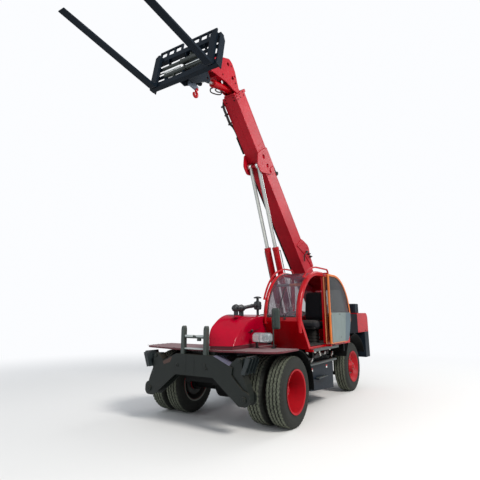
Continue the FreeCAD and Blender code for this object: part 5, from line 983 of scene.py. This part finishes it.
solid("lamp_clip", bar((3.80, 0.1765, -0.02), (3.90, 0.190, 0.16), 0.006, "y"), boom_paint, "boom", boom_place)
work_lamp = [(0, 0.03), (0.01, 0.045), (0.03, 0.052), (0.055, 0.054), (0.06, 0.05), (0.058, 0.01)]
solid("work_lamp", join(turned(work_lamp, (3.62, 0.11, 0.285), (1, 0.25, -0.25)),
                        bar((3.60, 0.095, 0.2055), (3.64, 0.125, 0.26), 0.006),
                        pipe([(3.86, 0.16, 0.215), (3.75, 0.15, 0.235), (3.65, 0.13, 0.262)], 0.011, 8)),
      lamp_black, "boom", boom_place)


# Lift cylinders: two welded barrels with bolted glands and lip seals, plated rods, and a steel pipe that
# feeds the right one.
coat_nodes(red_paint, "lift_barrels", "tilt_barrel")
rod_chrome = paint("rod_chrome", (196, 198, 194), rough=0.18, dusty=0.04, streak=0.08, peel=0.05, metal=0.9)
coat_nodes(rod_chrome, "lift_rods", "tilt_rod")
pin_along, pin_up = 4.130, -0.270
bend = math.radians(47.25)
lift_run = -0.554 + pin_along * math.cos(bend) - pin_up * math.sin(bend) - 0.930
lift_rise = 1.752 + pin_along * math.sin(bend) + pin_up * math.cos(bend) - 0.850
lift_place = pitched(0.930, 0.850, math.degrees(math.atan2(lift_rise, lift_run)))
gland = [(-0.05, 0.0655), (-0.045, 0.070), (0.002, 0.070), (0.006, 0.066), (0.006, 0.044), (0.014, 0.042), (0.014, 0.0386),
         (-0.05, 0.0386)]
for name, y in (("left", 0.095), ("right", -0.095)):
    solid(f"lift_{name}_gland", join(turned(gland, (2.29, y, 0), (1, 0, 0), 40, True),
                                     turned([(0.02, 0.0655), (0.02, 0.069), (0.045, 0.069), (0.045, 0.0655)],
                                            (0, y, 0), (1, 0, 0), 40, True)), red_paint, "lift_barrel_pair", lift_place)
feed = [pipe([(2.20, -0.155, 0.03), (2.215, -0.19, 0.045), (2.17, -0.205, 0.05), (1.8, -0.205, 0.05), (1.2, -0.205, 0.05),
              (0.6, -0.200, 0.045), (0.25, -0.175, 0.03)], 0.008, 10, 6),
        pipe([(2.20, 0.155, 0.03), (2.215, 0.168, 0.045), (2.17, 0.170, 0.05), (1.8, 0.170, 0.05), (1.2, 0.170, 0.05),
              (0.6, 0.170, 0.045), (0.25, 0.166, 0.03)], 0.008, 10, 6)]
solid("lift_feed_pipes", join(*feed), arch_paint, "lift_barrel_pair", lift_place)


# Boom head and tilt cylinder: thick head plates with bolted pins; the barrel has a welded gland and ports
# fed by two short hoses.
head_bolts = [(x, side * 0.1322, z) for x, z in ((6.10, 0.12), (5.90, 0.10), (5.78, 0.03), (6.28, -0.20), (6.05, -0.30))
              for side in (1, -1)]
solid("head_bolts", join(nuts([p for p in head_bolts if p[1] > 0], (0, 1, 0), 0.012, 0.008),
                         nuts([p for p in head_bolts if p[1] < 0], (0, -1, 0), 0.012, 0.008),
                         *[turned([(0, 0.045), (0.010, 0.045), (0.014, 0.038), (0.014, 0.01)],
                                  (6.390, side * 0.1322, -0.700), (0, side, 0)) for side in (1, -1)]),
      frame_paint, "boom_inner", boom_place)
lug_x = 4.29756 - 0.152 * math.cos(math.radians(10)) + 0.243 * math.sin(math.radians(10))
lug_z = 5.96916 - 0.152 * math.sin(math.radians(10)) - 0.243 * math.cos(math.radians(10))
base_x = -0.554 + 5.700 * math.cos(bend) + 0.050 * math.sin(bend)
base_z = 1.752 + 5.700 * math.sin(bend) - 0.050 * math.cos(bend)
tilt_place = pitched(base_x, base_z, math.degrees(math.atan2(lug_z - base_z, lug_x - base_x)))
tilt_gland = [(-0.06, 0.0685), (-0.055, 0.074), (-0.008, 0.074), (-0.002, 0.069), (0.0006, 0.060), (0.0006, 0.0308),
              (-0.06, 0.0308)]
solid("tilt_gland", join(turned(tilt_gland, (0.59, 0, 0), (1, 0, 0), 40, True),
                         turned([(0.11, 0.0685), (0.11, 0.072), (0.14, 0.072), (0.14, 0.0685)], (0, 0, 0), (1, 0, 0), 40,
                                True)), red_paint, "tilt_cylinder_barrel", tilt_place)
solid("tilt_hoses", join(pipe([(0.52, -0.045, -0.055), (0.58, -0.06, -0.085), (0.56, -0.075, -0.135), (0.40, -0.085, -0.135),
                               (0.24, -0.08, -0.11), (0.20, -0.055, -0.05)], 0.012, 10),
                         pipe([(0.46, 0.0, -0.066), (0.50, -0.01, -0.10), (0.42, -0.02, -0.115), (0.32, -0.02, -0.10),
                               (0.28, 0.0, -0.066)], 0.012, 10)), hose_black, "tilt_cylinder_barrel", tilt_place)


# Fork carriage: welded bars between end plates, with fork positioner cylinders across its window, ribs,
# guards and a lifting hook under the hangers.
carriage_place = pitched(4.29756, 5.96916, 10)
carriage_paint = paint("carriage_coat", (9, 20, 30), rough=0.4, dusty=0.0, shine=0.12)
coat_nodes(carriage_paint, "carriage", "load_guards", "fork_left", "fork_right")
grey_steel = paint("positioner_coat", (48, 54, 50), rough=0.42, dusty=0.12, shine=0.35)
pale_lug = paint("lug_coat", (84, 94, 108), rough=0.4, dusty=0.1)


def across(y0, y1, z, profile_radius, x=0.33):
    """A round piece across the carriage with stepped ends."""
    step = 0.012 if y1 > y0 else -0.012
    return turned([(0, profile_radius * 0.8), (0.012, profile_radius), (0.03, profile_radius * 1.12),
                   (0.05, profile_radius), (abs(y1 - y0) - 0.05, profile_radius),
                   (abs(y1 - y0) - 0.03, profile_radius * 1.12), (abs(y1 - y0) - 0.012, profile_radius),
                   (abs(y1 - y0), profile_radius * 0.8)], (x, y0, z), (0, 1 if y1 > y0 else -1, 0), 28)


solid("positioner_barrels", join(across(-0.13, 0.26, -0.182, 0.042), across(-0.46, 0.02, -0.366, 0.042),
                                 bar((0.30, 0.085, -0.23), (0.36, 0.10, -0.05), 0.006, "y"),
                                 bar((0.30, -0.24, -0.50), (0.36, -0.225, -0.32), 0.006, "y"),
                                 across(-0.55, -0.13, -0.182, 0.0295), across(0.02, 0.42, -0.366, 0.0295)),
      grey_steel, "fork_carriage", carriage_place)
solid("positioner_rods", join(across(0.04, 0.36, -0.345, 0.011, 0.368), across(-0.62, -0.12, -0.274, 0.012)), rod_chrome, "fork_carriage", carriage_place)
ribs = [slab([(0.291, -0.05), (0.379, -0.05), (0.379, -0.11), (0.30, -0.16)], y - 0.006, y + 0.006, "y", 0.002)
        for y in (-0.40, 0.0, 0.40)]
ribs += [slab([(0.291, -0.50), (0.379, -0.50), (0.379, -0.44), (0.30, -0.40)], y - 0.006, y + 0.006, "y", 0.002)
         for y in (-0.40, 0.0, 0.40)]
plates = [slab([(0.235, -0.60), (0.289, -0.60), (0.289, 0.05), (0.235, -0.02)], y - 0.008, y + 0.008, "y", 0.003)
          for y in (-0.715, 0.715)]
solid("carriage_ribs", join(*ribs, *plates, nuts([(0.3805, y, z) for y in (-0.715, 0.715) for z in (-0.56, -0.3, -0.04)],
                                                 (1, 0, 0), 0.010, 0.008)), carriage_paint, "fork_carriage",
      carriage_place)
for word, side in (("left", 1), ("right", -1)):
    y = side * 0.615
    stops = [bar((0.289, y - 0.05, 0.0505), (0.43, y + 0.05, 0.066), 0.006, "x"),
             bar((0.385, y - 0.03, 0.0505), (0.43, y + 0.03, 0.09), 0.006)]
    solid(f"fork_{word}_clip", join(*stops), carriage_paint, f"{word}_fork", carriage_place)
hook = smooth([(-0.02, 0, -0.56), (-0.02, 0, -0.60), (-0.055, 0, -0.635), (-0.06, 0, -0.68), (-0.02, 0, -0.71),
               (0.02, 0, -0.69), (0.025, 0, -0.655)], 6)
solid("lifting_hook", join(frame_tube(hook, 0.023, 14), bar((-0.05, -0.03, -0.575), (0.01, 0.03, -0.545), 0.008)),
      red_paint, "fork_carriage", carriage_place)
solid("hook_plate", slab([(0.19, -0.52), (0.19, -0.60), (0.02, -0.585), (-0.05, -0.555), (-0.05, -0.50), (0.05, -0.47)],
                         -0.02, 0.02, "y", 0.004), pale_lug, "fork_carriage", carriage_place)
